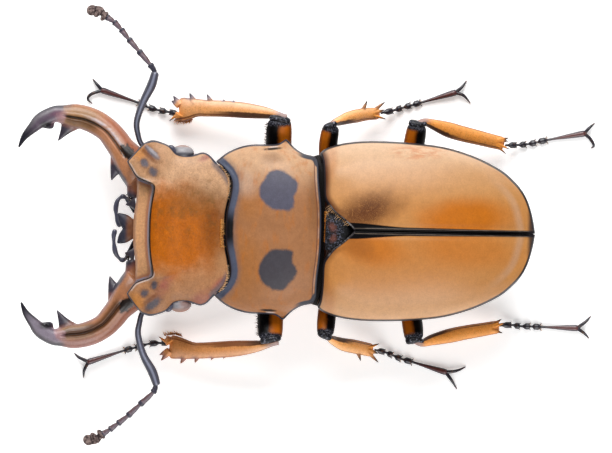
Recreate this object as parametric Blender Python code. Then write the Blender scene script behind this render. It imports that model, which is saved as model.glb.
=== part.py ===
"""A life-size stag beetle, a large male homoderus gladiator, standing in the pose of a set specimen.

The beetle faces -Y and stands on the plane z = 0, with its left side at +X. Sizes below are in
millimetres and turn into metres where a mesh is made. Where a size is given for one side, x is the
distance from the body's middle plane, and a side of 1 (left) or -1 (right) places it.
"""

import math

import bmesh
import bpy
from mathutils import Matrix, Vector

MM = 0.001
GAP = 0.3  # between two pieces that touch on the real beetle
UP = Vector((0, 0, 1))

# Pronotum, the shield behind the head: its side from the front corner to the rear one, as (y, x).
SHIELD_SIDE = [
    (-10.0, 7.15), (-8.9, 8.05), (-7.7, 8.65), (-6.3, 8.98), (-4.6, 9.02), (-3.3, 9.12),
    (-2.6, 9.62), (-1.8, 8.85), (-0.8, 8.15), (0.4, 7.85), (0.95, 7.1),
]
SHIELD_FRONT = [(0, -8.85), (1.7, -8.78), (3.6, -8.4), (5.0, -8.32), (6.1, -8.9), (7.15, -10.0)]
SHIELD_REAR = [(0, 1.39), (2.4, 1.33), (5.1, 1.05), (7.1, 0.95)]
SHIELD_HEIGHT = [(-10.0, 2.7), (-8.4, 3.5), (-5.0, 4.3), (-2.0, 4.45), (0.95, 3.9)]
SHIELD_EDGE_Z = 7.5
EDGE_THICK = 0.6
BELLY_Z = 3.6

# Elytra, the two wing cases, and the scutellum, the small triangle between their roots.
CASE_SIDE = [
    (1.1, 8.3), (1.9, 8.85), (3.3, 9.3), (5.5, 9.6), (8.2, 9.62), (11.2, 9.5), (14.5, 9.1),
    (17.4, 8.25), (19.2, 7.45), (20.9, 6.45), (22.35, 5.1),
]
CASE_FRONT = [(0.15, 5.0), (1.3, 4.1), (2.1, 3.1), (2.8, 2.0), (3.4, 1.75), (5.5, 1.6), (7.5, 1.4), (8.3, 1.1)]
CASE_REAR = [(0.15, 24.15), (1.5, 23.93), (3.1, 23.5), (4.2, 23.0), (5.1, 22.35)]
CASE_HEIGHT = [(1.1, 4.3), (3.0, 4.8), (8.0, 5.1), (13.0, 4.95), (17.5, 4.0), (21.0, 2.6), (23.2, 1.2), (24.2, 0.3)]
CASE_EDGE_Z = 7.7
CASE_THICK = 0.8
SUTURE_HALF = 0.15
SCUTELLUM_HALF = 2.05
SCUTELLUM_FRONT = 1.75
SCUTELLUM_TIP = 4.55

# Trunk under the cases: the part that carries the middle and hind legs, then the abdomen.
TRUNK_FRONT = 1.75
TRUNK_REAR = 11.5
ABDOMEN_REAR = 23.6
TAIL_SIDE = [(19.0, 6.43), (20.4, 5.6), (21.6, 4.6), (22.6, 3.45), (23.2, 2.4), (23.6, 1.0)]
SEGMENT_GROOVES = 4
GROOVE_DEPTH = 0.25

# Head: its side from the front corner to the neck, as (y, x), its front edge and the crest behind it.
HEAD_SIDE = [
    (-17.5, 9.2), (-17.2, 9.3), (-16.4, 9.35), (-15.6, 9.1), (-14.85, 8.75), (-14.1, 8.3),
    (-12.9, 8.1), (-12.0, 8.2), (-11.2, 8.15), (-10.5, 7.65), (-10.15, 6.9),
]
HEAD_COLUMNS = [0, 0.18, 0.36, 0.5, 0.56, 0.66, 0.76, 0.88, 1]
FRONT_COLUMNS = [0, 0.18, 0.36, 0.59, 0.65, 0.7, 0.765, 0.88, 1]
HEAD_FRONT = [(0, -18.62), (1.5, -18.6), (3.3, -18.35), (5.4, -18.5), (5.98, -18.85), (7.0, -19.4), (8.1, -18.72), (9.2, -17.6)]
LEFT_LOBE_SHORTER = [(5.4, 0), (7.0, 0.25), (8.1, 0.05), (9.2, 0)]
CREST_LINE = [(0, -17.05), (2.85, -16.85), (4.6, -16.6), (5.2, -17.0), (6.9, -17.2), (8.2, -16.9), (9.35, -16.4)]
CREST_HEIGHT = [(0, 10.65), (4.6, 10.7), (5.2, 10.55), (6.9, 10.35), (8.2, 9.95), (9.35, 9.25)]
FRONT_HEIGHT = [(0, 8.3), (5.4, 8.3), (5.98, 9.5), (7.0, 9.75), (8.1, 9.45), (9.2, 9.0)]
HEAD_GAP = 0.45
HEAD_EDGE_Z = (6.2, 8.7)
HEAD_TOP_Z = 10.3
HEAD_DISH = 0.45
SHELF_Z = 8.0
THROAT_Z = 4.1
MUZZLE_HALF = 2.3
MUZZLE_Z = (4.7, 8.3)
MUZZLE_FRONT = -18.35
EYE = Vector((8.1, -13.5, 8.0))
EYE_RADII = (0.8, 1.15, 1.0)

# Mandible, root to tip: its middle line and its half width and half height, as (x, y, z, half, half).
JAW = [
    (5.8, -17.75, 5.8, 2.25, 1.6), (6.45, -18.8, 5.9, 2.25, 1.75), (7.9, -19.95, 5.85, 1.83, 1.6),
    (9.13, -20.67, 5.75, 1.48, 1.4), (10.26, -21.66, 5.65, 1.32, 1.25), (11.05, -22.85, 5.6, 1.32, 1.15),
    (11.55, -24.1, 5.6, 1.3, 1.1), (11.68, -25.3, 5.6, 1.33, 1.05), (11.68, -26.4, 5.65, 1.18, 1.0),
    (11.42, -27.5, 5.75, 1.0, 0.9), (10.95, -28.6, 5.85, 0.87, 0.75), (10.3, -29.65, 6.0, 0.6, 0.55),
    (9.3, -30.55, 6.2, 0.36, 0.35), (8.25, -31.1, 6.4, 0.1, 0.1),
]
JAW_GROOVE = 0.3
# The left jaw stands a little further out than the right one and is shorter from a place on.
LEFT_JAW_SHIFT = [(-27.0, 0), (-25.0, 0.08), (-23.0, 0.25), (-21.0, 0.4), (-18.0, 0.45)]
LEFT_JAW_SHORTER = 0.55
JAW_SHORTENS_FROM = -24.5
# Teeth on its inner edge, as root, tip, root half length along the jaw, root half height.
JAW_TEETH = [
    ((4.2, -18.6, 6.0), (2.45, -19.55, 6.0), 0.65, 0.7),
    ((6.5, -20.3, 6.0), (4.8, -21.08, 5.9), 0.85, 0.65),
    ((10.8, -25.9, 5.65), (9.05, -26.8, 5.7), 0.9, 0.6),
    ((11.1, -26.8, 5.9), (10.2, -27.15, 6.3), 0.4, 0.35),
    ((10.9, -28.0, 5.8), (10.05, -28.05, 5.7), 0.8, 0.5),
]

# Lip and feelers of the mouth.
LIP_HALF = 0.8
LIP_PRONG = (1.6, -20.38)
LIP_NOTCH = -19.76
LIP_Z = 6.9
LIP_THICK = 0.8
LIP_SHIFT = 0.22
PALP_RIGHT = [
    (-1.5, -18.62, 5.5), (-2.3, -19.0, 5.3), (-3.0, -19.5, 5.1), (-3.2, -19.95, 5.1),
    (-2.75, -20.45, 5.1), (-1.85, -20.63, 5.1), (-0.78, -20.46, 5.05), (0.05, -20.15, 5.0),
]
PALP_LEFT = [
    (1.5, -18.63, 5.5), (2.5, -19.0, 5.3), (3.3, -19.4, 5.15), (3.55, -19.9, 5.2),
    (3.04, -20.44, 5.35), (2.33, -20.68, 5.5), (1.09, -20.79, 5.7), (0.3, -20.65, 5.8),
]
PALP_HALF = [0.26, 0.26, 0.26, 0.3, 0.3, 0.25]

# Antennae: scape, then the jointed whip with its club of three leaves.
SCAPE_RIGHT = [
    (-8.45, -16.72, 7.0), (-8.75, -17.9, 7.0), (-9.95, -18.4, 7.2), (-11.3, -18.52, 7.4),
    (-13.3, -17.9, 7.7), (-15.1, -17.05, 7.9), (-16.5, -16.68, 8.0),
]
SCAPE_LEFT = [
    (8.6, -16.63, 7.0), (9.15, -17.55, 7.0), (10.2, -17.85, 7.2), (11.5, -17.98, 7.4),
    (13.6, -17.4, 7.7), (15.4, -16.4, 7.9), (16.75, -15.9, 8.0),
]
SCAPE_HALF = [0.26, 0.26, 0.26, 0.28, 0.32, 0.36, 0.27]
WHIP_RIGHT = [
    (-16.93, -16.87, 7.95), (-18.05, -17.7, 7.7), (-19.4, -18.95, 7.3),
    (-20.6, -19.95, 6.95), (-21.75, -21.05, 6.6), (-22.45, -22.1, 6.3),
]
WHIP_LEFT = [
    (17.18, -16.1, 7.95), (18.2, -16.9, 7.7), (19.5, -18.25, 7.3),
    (20.6, -19.4, 6.95), (21.5, -20.55, 6.6), (22.25, -21.7, 6.3),
]
WHIP_JOINTS = 6
WHIP_HALF = 0.25
# Leaves of the club, by their middles, and their radii along the club, across it and in height.
CLUB_RIGHT = [(-22.4, -22.05, 6.3), (-22.75, -22.6, 6.15), (-23.0, -23.15, 6.0), (-23.15, -23.6, 5.9)]
CLUB_LEFT = [(22.15, -21.6, 6.3), (22.5, -22.15, 6.15), (22.8, -22.7, 6.0), (23.0, -23.15, 5.9)]
LEAF_RADII = (0.42, 0.5, 0.34)

# Each leg's hip, knee, ankle, foot root, last bead and toe. From the ankle on, the places are on the plan.
LEG_POINTS = {
    "front_right": (
        (-4.75, -3.4, 2.75), (-12.1, -3.25, 6.9), (-12.5, -14.05), (-12.18, -13.95), (-13.3, -18.65), (-14.6, -22.5),
    ),
    "front_left": (
        (4.75, -3.9, 2.75), (12.1, -3.85, 6.9), (12.8, -14.75), (12.45, -14.62), (13.22, -19.5), (14.65, -23.35),
    ),
    "middle_right": (
        (-4.65, 2.9, 2.75), (-11.45, 2.05, 7.0), (-12.5, 7.6), (-12.65, 7.5), (-13.9, 11.75), (-15.05, 15.5),
    ),
    "middle_left": (
        (4.65, 2.9, 2.75), (11.5, 1.95, 7.0), (12.75, 7.4), (12.85, 7.4), (13.9, 11.6), (14.95, 15.0),
    ),
    "hind_right": (
        (-5.7, 10.4, 2.85), (-11.75, 11.5, 7.0), (-9.65, 20.9), (-9.4, 21.1), (-10.05, 25.4), (-10.9, 29.45),
    ),
    "hind_left": (
        (5.7, 10.4, 2.85), (11.85, 11.6, 7.0), (10.05, 20.5), (9.9, 20.6), (9.85, 24.95), (9.95, 29.05),
    ),
}
# Tips of the two claws of each foot.
CLAW_TIPS = {
    "front_right": ((-15.6, -23.4), (-13.3, -23.7)),
    "front_left": ((13.8, -24.75), (16.3, -23.75)),
    "middle_right": ((-16.2, 16.55), (-13.9, 17.0)),
    "middle_left": ((14.4, 16.95), (16.75, 16.1)),
    "hind_right": ((-12.0, 30.35), (-9.4, 30.3)),
    "hind_left": ((8.7, 30.2), (10.9, 30.15)),
}
# For each pair: coxa middle and radii, femur half width and half height, tibia bow and half widths.
COXA = {
    "front": ((2.75, -3.6, 3.35), (1.6, 1.3, 1.25)),
    "middle": ((2.85, 3.1, 3.35), (1.4, 1.2, 1.25)),
    "hind": ((3.1, 10.0, 3.4), (2.3, 1.05, 1.1)),
}
FEMUR_HALF = {"front": (1.35, 0.75), "middle": (0.98, 0.68), "hind": (1.12, 0.7)}
TIBIA_BOW = {"front": 0.62, "middle": 0.33, "hind": 0.08}
ANKLE_Z = 1.75
# From the knee's middle to the first ring of the tibia.
KNEE_SPACE = {"front": 1.16, "middle": 1.03, "hind": 1.26}
TIBIA_HALF = {
    "front": [0.45, 0.83, 0.9, 0.9, 1.05, 1.25],
    "middle": [0.42, 0.68, 0.72, 0.66, 0.58, 0.58],
    "hind": [0.38, 0.62, 0.76, 0.75, 0.7, 0.68],
}
TIBIA_HALF_HEIGHT = [0.42, 0.5, 0.5, 0.5, 0.48, 0.42]
# Spines on a tibia: place along it, side (1 outer, -1 inner), reach sideways, reach forwards.
TIBIA_SPINES = {
    "front": [
        (0.98, 1, 0.45, 1.1), (0.97, 1, 0.0, 1.3), (0.985, -1, 0.05, 1.1),
        (0.86, 1, 0.75, 0.1), (0.69, 1, 0.6, 0.1), (0.6, 1, 0.3, 0.1),
    ],
    "middle": [(0.55, 1, 0.85, 0.85), (0.93, 1, 0.85, 0.8), (0.95, -1, 0.05, 0.8)],
    "hind": [(0.98, 1, 0.1, 0.85), (0.96, -1, 0.3, 0.85)],
}
SPINE_ROOT = 0.3
FOOT_RADIUS = 0.27
FLOOR_SIZE, FLOOR_DEPTH = 40, 2
FOOT_BEADS = 4
CLAW_RADIUS = 0.25

ORANGE, TAN, RUST, BLACK = (0.62, 0.27, 0.07), (0.55, 0.25, 0.1), (0.42, 0.15, 0.07), (0.03, 0.03, 0.035)


def value_at(points, place):
    """The value at a place along (place, value) pairs, smooth through each pair."""
    if place <= points[0][0]:
        return points[0][1]
    for index in range(len(points) - 1):
        (p1, v1), (p2, v2) = points[index], points[index + 1]
        if place <= p2:
            p0, v0 = points[index - 1] if index else (p1, v1)
            p3, v3 = points[index + 2] if index + 2 < len(points) else (p2, v2)
            share = (place - p1) / (p2 - p1)
            slope_1 = (v2 - v0) / (p2 - p0) * (p2 - p1)
            slope_2 = (v3 - v1) / (p3 - p1) * (p2 - p1)
            square, cube = share**2, share**3
            return (
                (2 * cube - 3 * square + 1) * v1 + (cube - 2 * square + share) * slope_1
                + (3 * square - 2 * cube) * v2 + (cube - square) * slope_2
            )
    return points[-1][1]


def along(values, share):
    """A number or point at a share of the way along a list, smooth through each entry."""
    size = len(values) - 1
    if isinstance(values[0], (int, float)):
        return value_at(list(enumerate(values)), share * size)
    return Vector([value_at([(i, v[axis]) for i, v in enumerate(values)], share * size) for axis in range(3)])


def dome(share, power=2.6, root=2.0):
    """Height of an arch at a share of its half width, 1 in the middle and 0 at its foot."""
    return max(0.0, 1 - abs(share) ** power) ** (1 / root)


def add_object(name, bm, colour=BLACK):
    """Makes a node's object from a bmesh in millimetres, with a material of its own."""
    bmesh.ops.recalc_face_normals(bm, faces=bm.faces)
    bmesh.ops.transform(bm, matrix=Matrix.Scale(MM, 4), verts=bm.verts)
    mesh = bpy.data.meshes.new(name)
    bm.to_mesh(mesh)
    bm.free()
    mesh.shade_smooth()
    obj = bpy.data.objects.new(name, mesh)
    BEETLE.objects.link(obj)
    material = bpy.data.materials.new(name)
    material.use_nodes = True
    shader = material.node_tree.nodes["Principled BSDF"]
    shader.inputs["Base Color"].default_value = (*colour, 1)
    shader.inputs["Roughness"].default_value = 0.35
    shader.inputs["Metallic"].default_value = 0.0
    mesh.materials.append(material)
    return obj


def apply_modifiers(obj):
    """Gives the object the mesh that its modifiers make."""
    graph = bpy.context.evaluated_depsgraph_get()
    made = bpy.data.meshes.new_from_object(obj.evaluated_get(graph))
    obj.modifiers.clear()
    old, obj.data = obj.data, made
    bpy.data.meshes.remove(old)


def keep_largest(obj):
    """Drops all but the largest connected surface of a mesh."""
    bm = bmesh.new()
    bm.from_mesh(obj.data)
    left, groups = set(bm.verts), []
    while left:
        group, edge = set(), {left.pop()}
        while edge:
            group |= edge
            edge = {e.other_vert(v) for v in edge for e in v.link_edges} - group
        left -= group
        groups.append(group)
    largest = max(groups, key=len)
    bmesh.ops.delete(bm, geom=[v for v in bm.verts if v not in largest], context="VERTS")
    bm.to_mesh(obj.data)
    bm.free()


def combine(obj, others, operation):
    """Joins other closed meshes to an object, or cuts them out of it, and removes them."""
    group = bpy.data.collections.new("pieces")
    for other in others:
        BEETLE.objects.unlink(other)
        group.objects.link(other)
    modifier = obj.modifiers.new("boolean", "BOOLEAN")
    modifier.operation = operation
    modifier.solver = "MANIFOLD"
    modifier.operand_type = "COLLECTION"
    modifier.collection = group
    apply_modifiers(obj)
    keep_largest(obj)
    for other in others:
        bpy.data.objects.remove(other)
    bpy.data.collections.remove(group)
    return obj


def plate(name, columns, rows, top, bottom, colour):
    """A closed body between two surfaces over one grid, with columns across and rows along it."""
    bm = bmesh.new()
    across, down = len(columns) - 1, len(rows) - 1
    bmesh.ops.create_grid(bm, x_segments=across, y_segments=down, size=1)
    place = {
        vert.index: (columns[round((vert.co.x + 1) / 2 * across)], rows[round((vert.co.y + 1) / 2 * down)])
        for vert in bm.verts
    }
    base = list(bm.verts)
    shares = [place[vert.index] for vert in base]
    raised = bmesh.ops.extrude_face_region(bm, geom=list(bm.faces), use_keep_orig=True)["geom"]
    raised = [item for item in raised if isinstance(item, bmesh.types.BMVert)]
    share_of = {tuple(vert.co): share for vert, share in zip(base, shares)}
    upper = [(vert, share_of[tuple(vert.co)]) for vert in raised]
    for vert, share in zip(base, shares):
        vert.co = bottom(*share)
    for vert, share in upper:
        vert.co = top(*share)
    return add_object(name, bm, colour)


def ring_body(name, rings, colour=BLACK):
    """A closed body through rings of points that face each other, flat at both ends."""
    bm = bmesh.new()
    made = [[bm.verts.new(point) for point in ring] for ring in rings]
    count = len(made[0])
    for first, second in zip(made, made[1:]):
        for k in range(count):
            bm.faces.new((first[k], first[(k + 1) % count], second[(k + 1) % count], second[k]))
    bm.faces.new(reversed(made[0]))
    bm.faces.new(made[-1])
    return add_object(name, bm, colour)


def limb(
    name, line, half_widths, half_heights, stations, sides=8, colour=BLACK, groove=0.0, rounded=0.6, across=None
):
    """A tapering body of oval rings along a line. A groove runs along its upper side where one is asked for."""
    shares = [k / (stations - 1) for k in range(stations)]
    centres = [along(line, share) for share in shares]
    rings = []
    for k, share in enumerate(shares):
        ahead = (centres[min(k + 1, stations - 1)] - centres[max(k - 1, 0)]).normalized()
        side_axis = (across or ahead.cross(UP)).normalized()
        side_axis = (side_axis - ahead * side_axis.dot(ahead)).normalized()
        up_axis = side_axis.cross(ahead)
        width, height = along(half_widths, share), along(half_heights, share)
        ring = []
        for corner in range(sides):
            angle = 2 * math.pi * (corner + 0.5) / sides
            rise = math.sin(angle) * height
            if groove and rise > 0 and abs(math.cos(angle)) < 0.5:
                rise -= groove * min(1.0, height)
            ring.append(centres[k] + side_axis * math.cos(angle) * width + up_axis * rise)
        rings.append((centres[k], ahead, width, ring))
    if rounded:
        ends = []
        for (centre, ahead, width, ring), way in ((rings[0], 1), (rings[-1], -1)):
            inset = ahead * way * min(width, 0.45) * 0.5
            ends.append([centre + (point - centre) * rounded for point in ring])
            ring[:] = [point + inset for point in ring]
        return ring_body(name, [ends[0], *(entry[3] for entry in rings), ends[1]], colour)
    return ring_body(name, [entry[3] for entry in rings], colour)


def ball(name, centre, radii, segments=12, rings=8, turn=0.0):
    """An ellipsoid, turned about the vertical."""
    bm = bmesh.new()
    bmesh.ops.create_uvsphere(bm, u_segments=segments, v_segments=rings, radius=1)
    scale = Matrix.Diagonal((*radii, 1))
    bmesh.ops.transform(bm, matrix=Matrix.Translation(centre) @ Matrix.Rotation(turn, 4, "Z") @ scale, verts=bm.verts)
    return add_object(name, bm)


def spine(root, tip, radius, tip_radius=0.08):
    """A five-sided thorn from its root to its tip."""
    root, tip = Vector(root), Vector(tip)
    bm = bmesh.new()
    length = (tip - root).length
    bmesh.ops.create_cone(bm, cap_ends=True, segments=5, radius1=radius, radius2=tip_radius, depth=length)
    turn = UP.rotation_difference(tip - root).to_matrix().to_4x4()
    bmesh.ops.transform(bm, matrix=Matrix.Translation((root + tip) / 2) @ turn, verts=bm.verts)
    return add_object("spine", bm)


def symmetric(count, bunch=1.0):
    """Shares from -1 to 1, closer together at both ends."""
    quarter = math.pi / 2 * bunch
    return [math.sin(quarter * (2 * k / count - 1)) / math.sin(quarter) for k in range(count + 1)]


def shield_place(share, row, half, height, drop=0.0):
    """A point of the prothorax at a share of its half width and a place along its side."""
    start, end = SHIELD_SIDE[0][0], SHIELD_SIDE[-1][0]
    run = (row - start) / (end - start)
    front = value_at(SHIELD_FRONT, abs(share) * SHIELD_FRONT[-1][0])
    rear = value_at(SHIELD_REAR, abs(share) * SHIELD_REAR[-1][0])
    return Vector((share * half, front * (1 - run) + rear * run, height - drop))


def prothorax():
    def top(share, row):
        rise = value_at(SHIELD_HEIGHT, row) * dome(share)
        return shield_place(share, row, value_at(SHIELD_SIDE, row), SHIELD_EDGE_Z + rise)

    def bottom(share, row):
        deep = (SHIELD_EDGE_Z - EDGE_THICK - BELLY_Z) * (1 - share**2)
        return shield_place(share, row, value_at(SHIELD_SIDE, row), SHIELD_EDGE_Z - EDGE_THICK - deep)

    rows = [y for y, _ in SHIELD_SIDE]
    body = plate("prothorax", symmetric(16, 0.9), rows, top, bottom, ORANGE)
    return combine(body, [coxa_ball("socket", "front", side, GAP) for side in (1, -1)], "DIFFERENCE")


def case_line(share, row):
    """Where a share across a wing case and a place along its side lies on the plan, as x share and y."""
    start, end = CASE_SIDE[0][0], CASE_SIDE[-1][0]
    run = (row - start) / (end - start)
    front = value_at(CASE_FRONT, max(SUTURE_HALF, share * CASE_FRONT[-1][0]))
    rear = value_at(CASE_REAR, max(SUTURE_HALF, share * CASE_REAR[-1][0]))
    return front * (1 - run) + rear * run


def case_point(side, share, row, inset):
    """A point of the wing case's outer surface, or of one that lies inside it by the inset."""
    half = value_at(CASE_SIDE, row) - inset
    y = case_line(share, row)
    x = max(SUTURE_HALF, share * half)
    rise = max(0.0, value_at(CASE_HEIGHT, y) - inset) * dome(x / half)
    return Vector((side * x, y, CASE_EDGE_Z - min(inset, EDGE_THICK) + rise))


def elytron(name, side):
    columns = [math.sin(math.pi / 2 * k / 8 * 0.94) / math.sin(math.pi / 2 * 0.94) for k in range(9)]
    rows = [y for y, _ in CASE_SIDE]
    return plate(
        name, columns, rows,
        lambda share, row: case_point(side, share, row, 0),
        lambda share, row: case_point(side, share, row, CASE_THICK),
        ORANGE,
    )


def scutellum():
    def point(share, row, height):
        half = SCUTELLUM_HALF * (1 - row) ** 0.8 + 0.25
        y = SCUTELLUM_FRONT + (SCUTELLUM_TIP - SCUTELLUM_FRONT) * row
        return Vector((share * half, y, height + 0.35 * dome(share) * (1 - row)))

    top_z, thick = CASE_EDGE_Z + value_at(CASE_HEIGHT, 3.0) - 0.55, 0.9
    return plate(
        "scutellum", symmetric(4), [k / 4 for k in range(5)],
        lambda share, row: point(share, row, top_z),
        lambda share, row: point(share, row, top_z - thick),
        BLACK,
    )


def trunk_half(y):
    """Half width of the trunk at a place along it, inside the wing cases' rim."""
    if y <= TAIL_SIDE[0][0]:
        return value_at(CASE_SIDE, y) - CASE_THICK - GAP
    return value_at(TAIL_SIDE, y)


def trunk_top(share, y):
    """Upper surface of the trunk, below the wing cases by their thickness and a gap."""
    inset = CASE_THICK + GAP + 0.1
    rise = max(0.0, value_at(CASE_HEIGHT, y + 0.35) - inset - 0.35) * dome(share)
    under_scutellum = 0.9 * max(0.0, 1 - abs(y - 2.4) / 3.4) * max(0.0, 1 - abs(share) * 2.2)
    return CASE_EDGE_Z - EDGE_THICK - GAP + rise - under_scutellum


def trunk_bottom(share, y, rear_lift):
    deep = (CASE_EDGE_Z - EDGE_THICK - GAP - 0.5 - BELLY_Z) * (1 - share**2) * (1 - rear_lift)
    return CASE_EDGE_Z - EDGE_THICK - GAP - 0.5 - deep


def trunk():
    rows = [TRUNK_FRONT + (TRUNK_REAR - TRUNK_FRONT) * k / 7 for k in range(8)]

    def half(y):
        return min(trunk_half(y), 7.0 + (y - TRUNK_FRONT) * 1.2)

    body = plate(
        "pterothorax", symmetric(14, 0.9), rows,
        lambda share, y: Vector((share * half(y), y, trunk_top(share, y))),
        lambda share, y: Vector((share * half(y), y, trunk_bottom(share, y, 0))),
        RUST,
    )
    sockets = [coxa_ball("socket", pair, side, GAP) for pair in ("middle", "hind") for side in (1, -1)]
    return combine(body, sockets, "DIFFERENCE")


def abdomen():
    start = TRUNK_REAR + GAP
    step = (ABDOMEN_REAR - start) / SEGMENT_GROOVES
    rows = []
    for k in range(SEGMENT_GROOVES):
        rows += [start + step * (k + part) for part in (0, 0.25, 0.55, 0.85)]
    rows.append(ABDOMEN_REAR)

    def bottom(share, y):
        run = (y - start) / (ABDOMEN_REAR - start)
        in_groove = abs((y - start) / step - round((y - start) / step)) < 0.01 and 0.01 < run < 0.99
        lift = run**2.2 * 0.85
        z = trunk_bottom(share, y, lift) + (GROOVE_DEPTH if in_groove else 0) * dome(share)
        return Vector((share * trunk_half(y), y, z))

    return plate(
        "abdomen", symmetric(12, 0.9), rows,
        lambda share, y: Vector((share * trunk_half(y), y, trunk_top(share, y))),
        bottom, RUST,
    )


def head_plan(share, row):
    """Where a share of the head's half width and a place along its side lie on the plan."""
    half = value_at(HEAD_SIDE, row)
    start, crest, end = HEAD_SIDE[0][0], HEAD_SIDE[2][0], HEAD_SIDE[-1][0]
    across = abs(share)
    middle = value_at(CREST_LINE, across * CREST_LINE[-1][0])
    rear = value_at(SHIELD_FRONT, across * HEAD_SIDE[-1][1]) - HEAD_GAP
    if row <= crest:
        run = (row - start) / (crest - start)
        front_share = FRONT_COLUMNS[HEAD_COLUMNS.index(across)]
        front_x = front_share * HEAD_FRONT[-1][0]
        front = value_at(HEAD_FRONT, front_x) + (value_at(LEFT_LOBE_SHORTER, front_x) if share > 0 else 0)
        x = math.copysign(front_share * (1 - run) + across * run, share) * half
        return x, front * (1 - run) + middle * run
    run = (row - crest) / (end - crest)
    return share * half, middle * (1 - run) + rear * run


def head():
    start, brow, crest, end = HEAD_SIDE[0][0], HEAD_SIDE[1][0], HEAD_SIDE[2][0], HEAD_SIDE[-1][0]

    def top(share, row):
        x, y = head_plan(share, row)
        crest_z = value_at(CREST_HEIGHT, abs(share) * CREST_HEIGHT[-1][0])
        if row == start:
            return Vector((x, y, value_at(FRONT_HEIGHT, abs(x))))
        if row == brow:
            return Vector((x, y, crest_z - (0.75 if abs(share) < 0.53 else 0.2)))
        if row == crest:
            return Vector((x, y, crest_z))
        run = (row - crest) / (end - crest)
        rise = (HEAD_TOP_Z - HEAD_EDGE_Z[1] - 0.7 * run**2) * dome(share, 4.5, 2.2)
        dish = HEAD_DISH * math.sin(math.pi * min(1, run * 1.5)) * dome(share, 3)
        blend = max(0.0, 1 - run * 5)
        return Vector((x, y, (HEAD_EDGE_Z[1] + rise - dish) * (1 - blend) + crest_z * blend))

    def bottom(share, row):
        x, y = head_plan(share, row)
        if row <= crest:
            return Vector((x, y, SHELF_Z + 0.2 * share**2))
        inset = 1 - 0.04 * abs(share)
        run = (row - crest) / (end - crest)
        throat = THROAT_Z + 0.5 * max(0.0, run - 0.6)
        return Vector((x * inset, y, throat + (HEAD_EDGE_Z[0] - throat) * abs(share) ** 3))

    columns = [-share for share in reversed(HEAD_COLUMNS[1:])] + HEAD_COLUMNS
    rows = [y for y, _ in HEAD_SIDE]
    body = plate("head", columns, rows, top, bottom, ORANGE)
    combine(body, [muzzle()], "UNION")
    return combine(body, [eye_ball("socket", side, GAP) for side in (1, -1)], "DIFFERENCE")


def muzzle():
    """The block between the two jaws that carries the lip and the feelers of the mouth."""
    line = [(0, -16.2, sum(MUZZLE_Z) / 2), (0, MUZZLE_FRONT, sum(MUZZLE_Z) / 2 - 0.35)]
    half = (MUZZLE_Z[1] - MUZZLE_Z[0]) / 2
    widths, heights = [MUZZLE_HALF * 1.15, MUZZLE_HALF], [half, half - 0.4]
    return limb("muzzle", line, widths, heights, 3, 12, across=Vector((1, 0, 0)))


def eye_ball(name, side, grow=0.0):
    radii = tuple(radius + grow for radius in EYE_RADII)
    return ball(name, (side * EYE.x, EYE.y, EYE.z), radii, 12, 8)


def jaw_point(side, x, y, z):
    """A point of a mandible on its side."""
    if side == 1:
        beyond = max(0.0, JAW_SHORTENS_FROM - y) / (JAW_SHORTENS_FROM - JAW[-1][1])
        return Vector((x + value_at(LEFT_JAW_SHIFT, y), y + LEFT_JAW_SHORTER * beyond, z))
    return Vector((-x, y, z))


def mandible(name, side):
    line = [jaw_point(side, *station[:3]) for station in JAW]
    widths, heights = [station[3] for station in JAW], [station[4] for station in JAW]
    body = limb(name, line, widths, heights, 20, 12, RUST, groove=JAW_GROOVE, rounded=0.85)
    teeth = []
    for root, tip, half_length, half_height in JAW_TEETH:
        root, tip = jaw_point(side, *root), jaw_point(side, *tip)
        sizes = [half_length, half_length * 0.5, 0.1]
        heights = [half_height, half_height * 0.6, 0.1]
        teeth.append(limb("tooth", [root, root.lerp(tip, 0.5), tip], sizes, heights, 4, 6, rounded=0))
    return combine(body, teeth, "UNION")


def labrum():
    """The forked upper lip."""
    tip_x, tip_y = LIP_PRONG
    root_y = MUZZLE_FRONT - GAP - 0.13
    right = [(LIP_HALF, root_y), (LIP_HALF + 0.15, root_y - 0.5), (tip_x, tip_y), (tip_x - 0.3, tip_y - 0.05)]
    outline = [*right, (0, LIP_NOTCH), *((-x, y) for x, y in reversed(right))]
    rings = [[(x + LIP_SHIFT, y, LIP_Z + z * LIP_THICK / 2) for x, y in outline] for z in (-1, 1)]
    return ring_body("labrum", rings, BLACK)


def whip(name, line, club):
    """The jointed part of an antenna, with the leaves of its club."""
    widths = []
    for _ in range(WHIP_JOINTS):
        widths += [WHIP_HALF, WHIP_HALF + 0.08]
    body = limb(name, line, widths, widths, len(widths), 6)
    turn = math.atan2(club[-1][1] - club[0][1], club[-1][0] - club[0][0])
    return combine(body, [ball("leaf", middle, LEAF_RADII, 8, 6, turn) for middle in club], "UNION")


def coxa_ball(name, pair, side, grow=0.0):
    (x, y, z), radii = COXA[pair]
    return ball(name, (side * x, y, z), tuple(radius + grow for radius in radii), 12, 8)


def femur(name, pair, hip, knee):
    hip, knee = Vector(hip), Vector(knee)
    half_width, half_height = FEMUR_HALF[pair]
    middle = hip.lerp(knee, 0.55) - UP * 0.1
    end = knee - (knee - hip).normalized() * 0.4
    widths = [half_width * share for share in (0.5, 0.88, 1.0, 1.0, 0.98, 0.88)]
    heights = [half_height * share for share in (0.75, 0.95, 1.0, 1.0, 0.95, 0.75)]
    return limb(name, [hip, middle, end], widths, heights, 7, 10, TAN, across=Vector((0, 1, 0)))


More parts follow.
